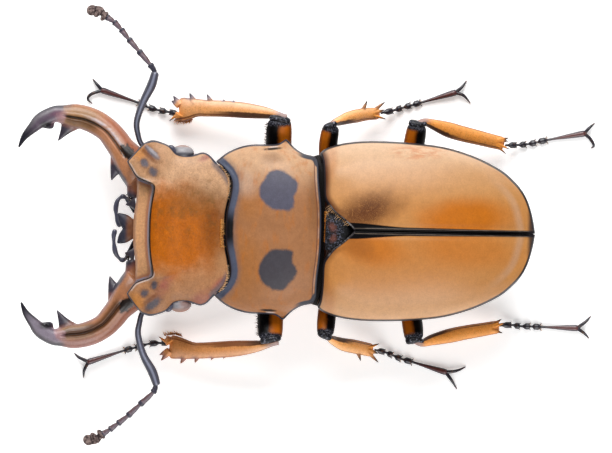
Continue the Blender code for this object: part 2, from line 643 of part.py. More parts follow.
def tibia(name, pair, side, knee, ankle):
    knee, ankle = Vector(knee), Vector((*ankle, ANKLE_Z))
    ahead = (ankle - knee).normalized()
    outward = Vector((side, 0, 0))
    outward = (outward - ahead * outward.dot(ahead)).normalized()
    start = knee + ahead * KNEE_SPACE[pair]
    bow = outward * TIBIA_BOW[pair]
    line = [start, start.lerp(ankle, 0.33) + bow * 0.85, start.lerp(ankle, 0.7) + bow, ankle]
    halves = TIBIA_HALF[pair]
    body = limb(name, line, halves, TIBIA_HALF_HEIGHT, 9, 8, ORANGE, across=outward)
    spines = []
    for place, way, reach, forward in TIBIA_SPINES[pair]:
        centre = along(line, place)
        half = along(halves, place)
        root = centre + outward * way * (half - 0.45) - ahead * 0.2
        tip = centre + outward * way * (half + reach) + ahead * forward
        spines.append(spine(root, tip, SPINE_ROOT))
    return combine(body, spines, "UNION")


def claw(root, tip, ahead):
    """A hooked claw from the toe to its tip, which touches the floor."""
    tip = Vector((*tip, 0.12))
    bend = root + (tip - root).project(ahead) * 0.25 + (tip - root) * 0.45
    bend.z = root.z + 0.1
    line = [root, root.lerp(bend, 0.6) + UP * 0.05, bend, tip]
    sizes = [CLAW_RADIUS, CLAW_RADIUS, CLAW_RADIUS * 0.8, 0.08]
    return limb("claw", line, sizes, sizes, 6, 6, rounded=0)


def tarsus(name, ankle, root, bead_end, toe, claw_tips):
    """The foot: four beads and a long last joint with its two claws, flat where it meets the floor."""
    root, ankle = Vector((*root, ANKLE_Z - 0.2)), Vector((*ankle, ANKLE_Z))
    low = FOOT_RADIUS - 0.02
    bead_end, toe = Vector((*bead_end, low)), Vector((*toe, FOOT_RADIUS + 0.12))
    ahead = (bead_end - root).normalized()
    start = root + ahead * 0.45
    line = [start, start.lerp(bead_end, 0.28), start.lerp(bead_end, 0.62), bead_end, bead_end.lerp(toe, 0.5), toe]
    line[1].z, line[2].z, line[4].z = low + 0.3, low, low
    bead_part = 3 / (len(line) - 1)
    places = []
    for bead in range(FOOT_BEADS):
        for part, radius in ((0.0, 0.25), (0.7, 0.38), (0.97, 0.3)):
            places.append(((bead + part) / FOOT_BEADS * bead_part, radius))
    places += [(bead_part + 0.03, 0.25), (0.8, 0.26), (0.94, 0.32), (1.0, 0.28)]
    rings, sides = [], 8
    for share, radius in places:
        centre = along(line, share)
        forward = (along(line, min(1, share + 0.02)) - along(line, max(0, share - 0.02))).normalized()
        across = forward.cross(UP).normalized()
        upward = across.cross(forward)
        angles = [2 * math.pi * (corner + 0.5) / sides for corner in range(sides)]
        rings.append([centre + across * math.cos(a) * radius + upward * math.sin(a) * radius for a in angles])
    body = ring_body(name, rings)
    last = (toe - bead_end).normalized()
    combine(body, [claw(toe - last * 0.2, tip, last) for tip in claw_tips], "UNION")
    floor = bmesh.new()
    bmesh.ops.create_cube(floor, size=1)
    size = Matrix.Diagonal((FLOOR_SIZE, FLOOR_SIZE, FLOOR_DEPTH, 1))
    place = Matrix.Translation((toe.x, toe.y, -FLOOR_DEPTH / 2))
    bmesh.ops.transform(floor, matrix=place @ size, verts=floor.verts)
    return combine(body, [add_object("floor", floor)], "DIFFERENCE")


def legs():
    for name, (hip, knee, ankle, root, bead_end, toe) in LEG_POINTS.items():
        pair, side = name.split("_")[0], 1 if name.endswith("left") else -1
        coxa_ball(f"coxa_{name}", pair, side)
        femur(f"femur_{name}", pair, hip, knee)
        tibia(f"tibia_{name}", pair, side, knee, ankle)
        tarsus(f"tarsus_{name}", ankle, root, bead_end, toe, CLAW_TIPS[name])


for old_object in list(bpy.data.objects):
    bpy.data.objects.remove(old_object)
BEETLE = bpy.data.collections.new("stag beetle")
bpy.context.scene.collection.children.link(BEETLE)

head()
labrum()
prothorax()
scutellum()
trunk()
abdomen()
for side_name, side_sign in (("left", 1), ("right", -1)):
    eye_ball(f"eye_{side_name}", side_sign)
    mandible(f"mandible_{side_name}", side_sign)
    elytron(f"elytron_{side_name}", side_sign)
    palp = PALP_LEFT if side_sign == 1 else PALP_RIGHT
    limb(f"palp_{side_name}", palp, PALP_HALF, PALP_HALF, 9, 6)
    scape = SCAPE_LEFT if side_sign == 1 else SCAPE_RIGHT
    limb(f"scape_{side_name}", scape, SCAPE_HALF, SCAPE_HALF, 10, 8)
    whip(f"antenna_{side_name}", *((WHIP_LEFT, CLUB_LEFT) if side_sign == 1 else (WHIP_RIGHT, CLUB_RIGHT)))
legs()
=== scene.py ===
# %% [markdown]
# # A stag beetle, dressed for its portrait
#
# A large male stag beetle lies straight out, seen from above. The solids of every plate and joint
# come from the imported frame. This lesson makes the finer pieces that stand for them: shell plates
# with rims and furrows, curved jaws, jointed feelers and feet, and the small golden brushes of hair.
#
# Sizes are in millimetres until a mesh is finished. The beetle faces -Y, its left side is at +X and
# the floor is z = 0.

# %% Load the frame
import math
import random

import bmesh
import bpy
from mathutils import Matrix, Vector
from mathutils.kdtree import KDTree


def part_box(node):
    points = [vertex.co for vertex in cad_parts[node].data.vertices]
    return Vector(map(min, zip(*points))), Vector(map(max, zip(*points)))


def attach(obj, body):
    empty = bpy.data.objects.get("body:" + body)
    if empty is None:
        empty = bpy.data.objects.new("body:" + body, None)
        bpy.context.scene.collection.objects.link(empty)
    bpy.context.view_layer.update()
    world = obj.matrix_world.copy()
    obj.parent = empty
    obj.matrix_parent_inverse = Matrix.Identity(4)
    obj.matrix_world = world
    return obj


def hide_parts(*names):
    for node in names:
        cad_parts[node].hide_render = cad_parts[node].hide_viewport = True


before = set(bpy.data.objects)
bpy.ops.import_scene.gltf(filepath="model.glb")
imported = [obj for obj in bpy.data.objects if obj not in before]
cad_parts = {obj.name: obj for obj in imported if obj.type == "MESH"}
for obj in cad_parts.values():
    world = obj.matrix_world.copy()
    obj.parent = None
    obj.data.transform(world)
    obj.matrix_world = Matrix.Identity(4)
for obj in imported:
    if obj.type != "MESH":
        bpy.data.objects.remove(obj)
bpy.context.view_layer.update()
MM = 0.001
UP = Vector((0, 0, 1))
SIDES = ((1, "left"), (-1, "right"))

# %% [markdown]
# The picture was taken from straight above with little perspective. A very long lens far away gives
# the same flat view. The image is 612 x 453 pixels, and one pixel is 0.1068 mm at the height of the
# back, so the view's width follows from that. The beetle lies one degree off the picture's long side.

# %% Camera
PIXEL = 55 / 515
TURN = math.atan(9.3 / 513)
PICTURE_WIDE, PICTURE_HIGH = 612, 453
MIDDLE_ACROSS, MIDDLE_DOWN = 308.5, 230.0
BACK_Z = 6.0
camera_data = bpy.data.cameras.new("camera")
camera_data.sensor_width = 36
camera_data.lens = 1000
distance = camera_data.lens / camera_data.sensor_width * PICTURE_WIDE * PIXEL + BACK_Z
camera_data.clip_start, camera_data.clip_end = 0.05, 20
camera = bpy.data.objects.new("camera", camera_data)
bpy.context.scene.collection.objects.link(camera)
right = (PICTURE_WIDE / 2 - MIDDLE_ACROSS) * PIXEL
down = (PICTURE_HIGH / 2 - MIDDLE_DOWN) * PIXEL
camera.location = (
    (-right * math.sin(TURN) + down * math.cos(TURN)) * MM,
    (right * math.cos(TURN) + down * math.sin(TURN)) * MM,
    distance * MM,
)
camera.rotation_euler = (0, 0, math.pi / 2 + TURN)
bpy.context.scene.camera = camera
print("camera height in mm:", round(distance))

# %% [markdown]
# Soft studio light. The world is white all round but dim straight above, where the camera hangs. So
# the back shows its own deep colour, and only the flanks, which mirror the bright surroundings, turn
# pale; the finishes add painted highlights to the flanks as well. A broad panel stands on the
# beetle's right side and a weaker one on its left. The floor is a light table: its faint glow from
# below thins the shadows out.

# %% Light and floor
world = bpy.data.worlds.new("studio")
world.use_nodes = True
background = world.node_tree.nodes["Background"]
direction = world.node_tree.nodes.new("ShaderNodeTexCoord")
height = world.node_tree.nodes.new("ShaderNodeSeparateXYZ")
dimming = world.node_tree.nodes.new("ShaderNodeMapRange")
world.node_tree.links.new(direction.outputs["Generated"], height.inputs[0])
world.node_tree.links.new(height.outputs["Z"], dimming.inputs["Value"])
world.node_tree.links.new(dimming.outputs[0], background.inputs["Strength"])
for key, value in (("From Min", 0.6), ("From Max", 0.93), ("To Min", 1.5), ("To Max", 0.45)):
    dimming.inputs[key].default_value = value
bpy.context.scene.world = world
bpy.context.scene.view_settings.view_transform = "Standard"


def panel(name, place, size, power):
    """A square light that faces the beetle's middle."""
    data = bpy.data.lights.new(name, "AREA")
    data.size, data.energy = size, power
    light = bpy.data.objects.new(name, data)
    light.location = place
    light.rotation_euler = (-Vector(place)).to_track_quat("-Z", "Y").to_euler()
    bpy.context.scene.collection.objects.link(light)


panel("panel right", (-0.34, -0.04, 0.29), 0.3, 2.6)
panel("panel left", (0.34, 0.06, 0.27), 0.32, 1.6)

floor_mesh = bmesh.new()
bmesh.ops.create_grid(floor_mesh, x_segments=1, y_segments=1, size=3)
floor_data = bpy.data.meshes.new("floor")
floor_mesh.to_mesh(floor_data)
floor_mesh.free()
floor = bpy.data.objects.new("floor", floor_data)
bpy.context.scene.collection.objects.link(floor)

# %% [markdown]
# Every finish below is a small tree of nodes, and a helper keeps the trees short. Patterns read the
# Object coordinates, here turned into millimetres, or a value that the mesh carries for each vertex.
# Colours are given as they look on a screen and turned into the linear values that a shader takes.
# A name stands for a carried value or an axis, (value, low, high) for a soft step, and a tuple that
# starts with a place for an oval spot on the plan.

# %% Helper for finishes
LIGHT = 1.35
SCREEN_GAMMA = 2.2


def seen(red, green, blue):
    """A colour as read off a screen, from 0 to 255, in linear values for a skin under this light."""
    return tuple(round((part / 255) ** SCREEN_GAMMA / LIGHT, 4) for part in (red, green, blue))


class Finish:
    """A Principled material and short calls for the nodes that feed it."""

    def __init__(self, name, **sockets):
        self.material = bpy.data.materials.new(name)
        self.material.use_nodes = True
        self.tree = self.material.node_tree
        self.shader = self.tree.nodes["Principled BSDF"]
        self.set(**sockets)
        place = self.node("TexCoord").outputs["Object"]
        self.where = self.node("VectorMath", "SCALE", (place,), Scale=1 / MM)

    def set(self, **sockets):
        for key, value in sockets.items():
            self.give(self.shader.inputs[key.replace("_", " ")], value)

    def give(self, socket, value):
        if isinstance(value, bpy.types.NodeSocket):
            self.tree.links.new(value, socket)
        elif socket.type == "RGBA" and len(value) == 3:
            socket.default_value = (*value, 1)
        else:
            socket.default_value = value

    def node(self, kind, operation=None, values=(), **named):
        node = self.tree.nodes.new("ShaderNode" + kind)
        if operation:
            node.operation = operation
        for index, value in enumerate(values):
            self.give(node.inputs[index], value)
        for key, value in named.items():
            self.give(node.inputs[key.replace("_", " ")], value)
        return node if kind == "TexCoord" else node.outputs[0]

    def read(self, value):
        """A socket for a name, for the (value, low, high) of a step and for the numbers of a spot."""
        if isinstance(value, str):
            return self.axis(value) if value in "XYZ" else self.carried(value)
        if isinstance(value, tuple):
            return self.spot(*value) if isinstance(value[0], tuple) else self.step(*value)
        return value

    def join(self, operation, values):
        """All values in a row of nodes that each take two of them."""
        total = self.read(values[0])
        for value in values[1:]:
            total = self.node("Math", operation, (total, self.read(value)))
        return total

    def sum(self, *values):
        return self.join("ADD", values)

    def times(self, *values):
        return self.join("MULTIPLY", values)

    def most(self, *values):
        return self.join("MAXIMUM", values)

    def off(self, value):
        """A value without its sign."""
        return self.most(value, self.times(value, -1))

    def axis(self, letter):
        parts = self.tree.nodes.new("ShaderNodeSeparateXYZ")
        self.tree.links.new(self.where, parts.inputs[0])
        return parts.outputs[letter]

    def carried(self, name):
        """A value that the mesh carries for each vertex."""
        node = self.tree.nodes.new("ShaderNodeAttribute")
        node.attribute_name = name
        return node.outputs["Fac"]

    def step(self, value, low, high):
        """0 up to low and 1 from high on, smooth between. Low may be above high for a falling step."""
        node = self.tree.nodes.new("ShaderNodeMapRange")
        node.interpolation_type = "SMOOTHSTEP"
        falling = low > high
        ends = {"From Min": min(low, high), "From Max": max(low, high), "To Min": float(falling),
                "To Max": float(not falling)}
        self.give(node.inputs["Value"], self.read(value))
        for key, item in ends.items():
            node.inputs[key].default_value = item
        return node.outputs[0]

    def noise(self, size, detail=3, stretch=(1, 1, 1), rough=0.55):
        """Clouds of a size in millimetres, longer along an axis whose stretch is above 1."""
        place = self.node("VectorMath", "MULTIPLY", (self.where, tuple(1 / part for part in stretch)))
        return self.node("TexNoise", Vector=place, Scale=1 / size, Detail=detail, Roughness=rough)

    def cells(self, size):
        """Distance from the middle of rounded cells of a size in millimetres."""
        return self.node("TexVoronoi", Vector=self.where, Scale=1 / size)

    def mix(self, share, first, second):
        """Two colours mixed, each from 0 to 255 as on a screen, linear up to 1, or a socket."""
        node = self.tree.nodes.new("ShaderNodeMix")
        node.data_type = "RGBA"
        self.give(node.inputs[0], self.read(share))
        for index, value in ((6, first), (7, second)):
            screen = isinstance(value, tuple) and max(value) > 1
            self.give(node.inputs[index], seen(*value) if screen else value)
        return node.outputs[2]

    def over(self, under, colour, *shares):
        """A colour laid over another one where all shares are 1."""
        return self.mix(self.times(*shares), under, colour)

    def tint(self, colour, *shares):
        """The same over the skin's own colour."""
        self.colour = self.over(self.colour, colour, *shares)

    def mottle(self, colour, size, amount):
        """The colour in lighter and darker grains."""
        value = self.sum(self.times(self.sum(self.noise(size, 4, rough=0.7), -0.5), amount), 1.0)
        return self.node("HueSaturation", Color=colour, Value=value)

    def uneven(self, size, amount):
        """A small value round 0 that makes an edge ragged."""
        return self.times(self.sum(self.noise(size, 3), -0.5), amount)

    def spot(self, middle, radii, turn=0.0, soft=0.15, ragged=0.0, size=1.0):
        """1 inside an oval on the plan and 0 outside, with a soft and, where asked for, ragged edge."""
        shifted = self.node("VectorMath", "SUBTRACT", (self.where, (*middle, 0)))
        if turn:
            node = self.tree.nodes.new("ShaderNodeVectorRotate")
            node.rotation_type = "Z_AXIS"
            self.give(node.inputs["Vector"], shifted)
            node.inputs["Angle"].default_value = -turn
            shifted = node.outputs[0]
        scaled = self.node("VectorMath", "MULTIPLY", (shifted, (1 / radii[0], 1 / radii[1], 0)))
        node = self.tree.nodes.new("ShaderNodeVectorMath")
        node.operation = "LENGTH"
        self.give(node.inputs[0], scaled)
        reach = node.outputs["Value"]
        if ragged:
            reach = self.sum(reach, self.times(self.sum(self.noise(size, 2), -0.5), ragged))
        return self.step(reach, 1 + soft, 1 - soft)

    def bump(self, height, depth):
        """Fine relief of a depth in millimetres."""
        self.set(Normal=self.node("Bump", Strength=1.0, Distance=depth * MM, Height=height))
        return self

    def done(self, size, amount, height, depth):
        """Gives the shader the skin's colour in grains, and its relief."""
        self.set(Base_Color=self.mottle(self.colour, size, amount))
        return self.bump(height, depth)


def plain_skin(name, size, first, second, grain, depth, detail=4, **sockets):
    """A finish in clouds of two colours with a fine grain."""
    skin = Finish(name, **sockets)
    skin.set(Base_Color=skin.mix(skin.noise(size, detail), first, second))
    return skin.bump(skin.noise(grain, 3), depth)


PALE_FLOOR = Finish("pale light table", Roughness=0.85, Specular_IOR_Level=0.1, Emission_Strength=0.42)
PALE_FLOOR.set(Emission_Color=(1.0, 1.0, 1.0))
PALE_FLOOR.set(Base_Color=PALE_FLOOR.mix(PALE_FLOOR.noise(60, 2), (0.93, 0.93, 0.93), (0.96, 0.96, 0.955)))
PALE_FLOOR.bump(PALE_FLOOR.noise(1.5, 3), 0.02)
floor.data.materials.append(PALE_FLOOR.material)

# %% [markdown]
# ## How pieces are made
#
# A smooth line through a few measured points drives most shapes, so the first helper reads a value or
# a point at any place between them. `finish_piece` turns a bmesh into an object in metres, gives it
# its finish, hides the solid that it stands for, and lets it ride on the body.

# %% Helpers for lines and pieces


def value_at(pairs, place):
    """The value at a place along (place, value) pairs, smooth through each pair."""
    if place <= pairs[0][0]:
        return pairs[0][1]
    for index in range(len(pairs) - 1):
        (p1, v1), (p2, v2) = pairs[index], pairs[index + 1]
        if place <= p2:
            p0, v0 = pairs[max(index - 1, 0)]
            p3, v3 = pairs[min(index + 2, len(pairs) - 1)]
            share = (place - p1) / (p2 - p1)
            slope_1 = (v2 - v0) / (p2 - p0) * (p2 - p1)
            slope_2 = (v3 - v1) / (p3 - p1) * (p2 - p1)
            square, cube = share**2, share**3
            return (
                v1 * (2 * cube - 3 * square + 1) + slope_1 * (cube - 2 * square + share)
                + v2 * (3 * square - 2 * cube) + slope_2 * (cube - square)
            )
    return pairs[-1][1]


def along(values, share):
    """A number or a point at a share of the way along a list."""
    if not isinstance(values[0], (int, float)):
        values = [Vector(value) for value in values]
    return value_at(list(enumerate(values)), share * (len(values) - 1))


def smooth_step(value, low, high):
    share = min(1.0, max(0.0, (value - low) / (high - low)))
    return share * share * (3 - 2 * share)


def hump(value, middle, half):
    """A smooth bump of height 1 round a middle."""
    return max(0.0, 1 - ((value - middle) / half) ** 2) ** 2


def layer_of(bm, name):
    return bm.verts.layers.float.get(name) or bm.verts.layers.float.new(name)


def carry(bm, name, measure):
    """Stores a measured value on each vertex, for the finish to read."""
    layer = layer_of(bm, name)
    for vert in bm.verts:
        vert[layer] = measure(vert.co)


def finish_piece(name, bm, finish, slot, *nodes, levels=0):
    """An object in metres from a bmesh in millimetres, dressed and riding on the beetle."""
    bmesh.ops.recalc_face_normals(bm, faces=bm.faces)
    bmesh.ops.scale(bm, vec=(MM, MM, MM), verts=bm.verts)
    mesh = bpy.data.meshes.new(name)
    bm.to_mesh(mesh)
    bm.free()
    mesh.shade_smooth()
    mesh.materials.append(finish.material)
    piece = bpy.data.objects.new(name, mesh)
    bpy.context.scene.collection.objects.link(piece)
    if levels:
        smoother = piece.modifiers.new("smoother", "SUBSURF")
        smoother.levels = smoother.render_levels = levels
    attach(piece, "root")
    if nodes:
        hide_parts(*nodes)
    return piece


def gap_to(line, point):
    """Distance on the plan from a point to a line of points."""
    best = math.inf
    for first, second in zip(line, line[1:]):
        way = second - first
        part = max(0.0, min(1.0, (point.xy - first).dot(way) / way.length_squared))
        best = min(best, (point.xy - first - way * part).length)
    return best


def carry_gaps(bm, **lines):
    """Stores the distance to the nearest of some lines, under the name given to them."""
    for name, group in lines.items():
        carry(bm, name, lambda at: min(gap_to(line, at) for line in group))


def gather(parts):
    """One bmesh from several, each still a closed surface of its own."""
    whole = bmesh.new()
    for part in parts:
        mesh = bpy.data.meshes.new("part")
        part.to_mesh(mesh)
        part.free()
        whole.from_mesh(mesh)
        bpy.data.meshes.remove(mesh)
    return whole


# %% [markdown]
# Legs, feelers and jaws are all long bodies. `sweep` extrudes a straight tube, ring after ring, and
# then bends it: each ring moves to its place on the line and takes its width and height there. Both
# ends close in a small dome. A piece may give its own outline to the rings, such as a furrow.

# %% Helper for long bodies


def sweep(line, widths, heights, rings=20, sides=14, domes=(0.3, 0.3), across=None, shape=None):
    """A long body on a line, round or shaped, with the place along and around it on each vertex."""
    bm = bmesh.new()
    circle = bmesh.ops.create_circle(bm, cap_ends=True, segments=sides, radius=1)["verts"]
    edges = list({edge for vert in circle for edge in vert.link_edges})
    length = sum((along(line, (k + 1) / 20) - along(line, k / 20)).length for k in range(20))
    dome = ((0, 0.35), (0.12, 0.68), (0.4, 0.92))
    first = [(share * domes[0] / length, size) for share, size in dome] if domes[0] else []
    last = [(1 - share * domes[1] / length, size) for share, size in reversed(dome)] if domes[1] else []
    start, end = domes[0] / length, 1 - domes[1] / length
    places = first + [(start + (end - start) * k / (rings - 1), 1) for k in range(rings)] + last
    for _ in places[1:]:
        made = bmesh.ops.extrude_edge_only(bm, edges=edges)["geom"]
        fresh = {item for item in made if isinstance(item, bmesh.types.BMVert)}
        edges = [item for item in made if isinstance(item, bmesh.types.BMEdge) and set(item.verts) <= fresh]
        bmesh.ops.translate(bm, vec=UP, verts=list(fresh))
    bmesh.ops.holes_fill(bm, edges=edges, sides=0)
    stations = []
    for share, size in places:
        ahead = (along(line, min(1, share + 0.01)) - along(line, max(0, share - 0.01))).normalized()
        side = (Vector(across) if across else UP.cross(ahead)).normalized()
        side = (side - ahead * side.dot(ahead)).normalized()
        stations.append((along(line, share), side, ahead.cross(side), share, size))
    layers = [layer_of(bm, name) for name in ("along", "side", "rise")]
    for vert in bm.verts:
        centre, side, rise_axis, share, size = stations[round(vert.co.z)]
        out, rise = vert.co.x, vert.co.y
        vert[layers[0]], vert[layers[1]], vert[layers[2]] = share, out, rise
        if shape:
            out, rise = shape(out, rise, share)
        wide, high = along(widths, share) * size, along(heights, share) * size
        vert.co = centre + side * out * wide + rise_axis * rise * high
    return bm


def thorn(root, tip, radius, sides=7):
    """A spine from its root to a fine tip."""
    root, tip = Vector(root), Vector(tip)
    halves = [radius, radius * 0.7, 0.035]
    return sweep([root, root.lerp(tip, 0.55), tip], halves, halves, 6, sides, (0, 0))


# %% [markdown]
# Shell plates are wider than long. `shell` starts from a grid, lifts a copy of it off with an
# extrusion, and moves the two layers to the plate's outer and inner surface. The wall between them is
# cut twice so that the rim can be rounded.

# %% Helper for shell plates


def shell(columns, rows, outer, inner, bulge=0.15):
    """A closed plate between two surfaces over one grid of columns across and rows along it."""
    bm = bmesh.new()
    wide, long = len(columns) - 1, len(rows) - 1
    bmesh.ops.create_grid(bm, x_segments=wide, y_segments=long, size=1)
    base = list(bm.verts)
    place = {
        (round(vert.co.x, 4), round(vert.co.y, 4)):
        (columns[round((vert.co.x + 1) / 2 * wide)], rows[round((vert.co.y + 1) / 2 * long)])
        for vert in base
    }
    lifted = bmesh.ops.extrude_face_region(bm, geom=list(bm.faces), use_keep_orig=True)["geom"]
    lifted = {item for item in lifted if isinstance(item, bmesh.types.BMVert)}
    for vert in bm.verts:
        share, row = place[round(vert.co.x, 4), round(vert.co.y, 4)]
        vert.co = outer(share, row) if vert in lifted else inner(share, row)
    wall = [edge for edge in bm.edges if (edge.verts[0] in lifted) != (edge.verts[1] in lifted)]
    middle = sum((vert.co for vert in base), Vector()) / len(base)
    cut = bmesh.ops.subdivide_edges(bm, edges=wall, cuts=2)["geom_inner"]
    for item in cut:
        if isinstance(item, bmesh.types.BMVert):
            away = item.co - middle
            away.z = 0
            item.co += away.normalized() * bulge
    return bm


def spread(count, bunch=0.9):
    """Shares from -1 to 1, closer together at both ends."""
    quarter = math.pi / 2 * bunch
    return [math.sin(quarter * (2 * k / count - 1)) / math.sin(quarter) for k in range(count + 1)]


def edges_of(top, columns, rows):
    """The front, rear, right and left edge of a plate on the plan."""
    ends = [[top(share, row).xy for share in columns] for row in (rows[0], rows[-1])]
    return *ends, *([top(share, row).xy for row in rows] for share in (-1, 1))


def dome(share, power=2.6, root=2.0):
    """Height of an arch at a share of its half width."""
    return max(0.0, 1 - min(1.0, abs(share)) ** power) ** (1 / root)

# %% [markdown]
# ## Head
#
# The head is a broad box with a sharp crest across its front. From the two corners of the crest a
# rounded lobe runs forwards over the root of each jaw. Between the lobes the brow slopes down to the
# mouth. Two shells make it: the crown with both lobes, and the brow that starts below the crest.
# The crown's front edge is a line over x, so one grid can follow the crest and both lobes.

# %% Sizes of the head
HEAD_SHIFT = 0.1
HEAD_SIDE = [
    (-17.55, 9.12), (-17.2, 9.28), (-16.7, 9.38), (-16.0, 9.22), (-15.2, 8.92), (-14.8, 8.6),
    (-14.45, 8.08), (-13.6, 7.82), (-12.6, 7.86), (-12.15, 8.06), (-11.65, 8.22), (-11.1, 8.08),
    (-10.6, 7.65), (-10.15, 6.95),
]
CROWN_FRONT = [
    (0, -17.0), (1.5, -16.98), (3.3, -16.78), (4.2, -16.6), (4.7, -16.58), (4.95, -16.8), (5.12, -17.25),
    (5.3, -17.95), (5.65, -18.5), (6.1, -18.84), (6.85, -19.38), (7.04, -19.47), (7.2, -19.36), (7.7, -18.9),
    (8.4, -18.28), (8.95, -17.79), (9.12, -17.5),
]
CROWN_REAR = [(0, -8.96), (1.7, -8.89), (3.6, -8.51), (5.0, -8.43), (6.1, -9.02), (6.95, -9.95)]
BROW_FRONT = [(0, -18.66), (1.5, -18.62), (3.0, -18.42), (4.5, -18.38), (6.3, -18.5)]
LEFT_LOBE_SHORTER = [(5.4, 0), (6.9, 0.22), (8.1, 0.05), (9.1, 0)]
CREST_SHIFT = 0.26
EDGE_TOP, EDGE_LOW, SHELF, THROAT = 8.75, 6.2, 8.05, 4.1
HEAD_MARKS = [
    ((-7.94, -16.85), (0.95, 0.32), 0.83), ((-6.8, -17.6), (0.45, 0.34), 0.5),
    ((-5.9, -16.65), (0.48, 0.38), 0.6),
    ((8.25, -16.5), (0.95, 0.42), -0.9), ((7.05, -17.35), (0.42, 0.36), -0.6),
    ((6.2, -16.35), (0.42, 0.32), -0.5),
]


def crest_shift(x):
    """The middle of the crest and brow lies a little to the left of the head's own middle."""
    return CREST_SHIFT * (1 - smooth_step(abs(x), 5.4, 6.9))


def crown_plan(share, row):
    run = (row - HEAD_SIDE[0][0]) / (HEAD_SIDE[-1][0] - HEAD_SIDE[0][0])
    front_x = abs(share) * CROWN_FRONT[-1][0]
    front = value_at(CROWN_FRONT, front_x) + (value_at(LEFT_LOBE_SHORTER, front_x) if share > 0 else 0)
    rear = value_at(CROWN_REAR, abs(share) * CROWN_REAR[-1][0])
    x = share * value_at(HEAD_SIDE, row)
    return x + HEAD_SHIFT + crest_shift(x) * (1 - run) ** 2, front * (1 - run) + rear * run, run


def crown_top(share, row):
    x, y, run = crown_plan(share, row)
    lobe = smooth_step(abs(share), 0.53, 0.6)
    rise = (1.55 - 0.75 * run**2) * dome(share, 4.5, 2.2)
    crest = (1 - lobe) * (0.42 * math.exp(-((run / 0.05) ** 2)) + 0.12 * hump(run, 0.1, 0.16))
    dish = 0.5 * hump(run, 0.34, 0.36) * dome(share, 2.4, 1)
    ridge = 0.3 * hump(abs(share), 0.74, 0.22) * hump(run, 0.16, 0.34)
    roll = lobe * 0.3 * (1 - smooth_step(run, 0, 0.08)) ** 2
    corner = 0.55 * smooth_step(abs(share), 0.8, 1) * (1 - smooth_step(run, 0, 0.2))
    marks = 0
    for middle, radii, turn in HEAD_MARKS:
        off = Matrix.Rotation(-turn, 2) @ (Vector((x, y)) - Vector(middle))
        marks += 0.1 * hump(off.x, 0, radii[0] * 1.5) * hump(off.y, 0, radii[1] * 1.9)
    return Vector((x, y, EDGE_TOP + rise + crest - dish + ridge - roll + corner - marks))


def crown_low(share, row):
    x, y, run = crown_plan(share, row)
    deep = smooth_step(y, -17.0, -15.4)
    below = THROAT + 0.5 * smooth_step(run, 0.6, 1)
    belly = below + (EDGE_LOW - below) * abs(share) ** 3
    return Vector((x * (1 - 0.03 * deep), y, SHELF * (1 - deep) + belly * deep))


def brow_place(share, row):
    front_x = abs(share) * BROW_FRONT[-1][0]
    crest_y = value_at(CROWN_FRONT, min(abs(share) * 4.9, 4.7)) + 0.25
    y = crest_y * (1 - row) + value_at(BROW_FRONT, front_x) * row
    x = share * (5.2 * (1 - row) + BROW_FRONT[-1][0] * row)
    return x + HEAD_SHIFT + CREST_SHIFT, y


def brow_top(share, row):
    x, y = brow_place(share, row)
    slope = 9.95 - 0.75 * smooth_step(row, 0.0, 0.35) - 0.75 * row**1.5 - 0.5 * smooth_step(row, 0.88, 1)
    return Vector((x, y, slope + 0.12 * hump(row, 0.42, 0.3)))


def brow_low(share, row):
    x, y = brow_place(share, row)
    return Vector((x, y, 7.45))


# %% Build the head
outer_columns = [0, 0.09, 0.18, 0.27, 0.35, 0.42, 0.47, 0.5, 0.522, 0.538, 0.552, 0.57, 0.6, 0.63, 0.66,
                 0.7, 0.735, 0.757, 0.772, 0.788, 0.81, 0.85, 0.9, 0.95, 0.985, 1]
columns = [-share for share in reversed(outer_columns[1:])] + outer_columns
runs = [0, 0.012, 0.03, 0.055, 0.09, 0.13, 0.18, 0.23, 0.28, 0.335, 0.38, 0.42, 0.46, 0.51, 0.57, 0.64,
        0.7, 0.75, 0.8, 0.85, 0.9, 0.94, 0.975, 1]
rows = [HEAD_SIDE[0][0] + run * (HEAD_SIDE[-1][0] - HEAD_SIDE[0][0]) for run in runs]
crown = shell(columns, rows, crown_top, crown_low, 0.04)
brow_rows = [0, 0.1, 0.2, 0.3, 0.42, 0.55, 0.68, 0.8, 0.9, 0.96, 1]
brow = shell(spread(24, 0.6), brow_rows, brow_top, brow_low, 0.08)
FRONT_LINE, REAR_LINE, *SIDE_LINES = edges_of(crown_top, columns, rows)
print("crown:", len(crown.verts), "points, brow:", len(brow.verts))

# %% [markdown]
# The skin of the head is saturated orange in the dished middle and tan at the sides. Painted light
# makes the right side paler, and painted shade with a redder tone makes the left side darker. A thin
# slate line follows every margin, and three grey marks lie on each lobe; the long one on the right
# lobe has a painted highlight. Painted shade darkens the crest's front wall and the crease below it,
# a thin painted highlight runs along the brow just in front of it, and another along the inner edge
# of each lobe. The plan distances to the margins are stored on the vertices, so that lines as thin
# as a tenth of a millimetre stay sharp.

# %% Head finish
SLATE, TAN = (66, 68, 80), (203, 150, 102)


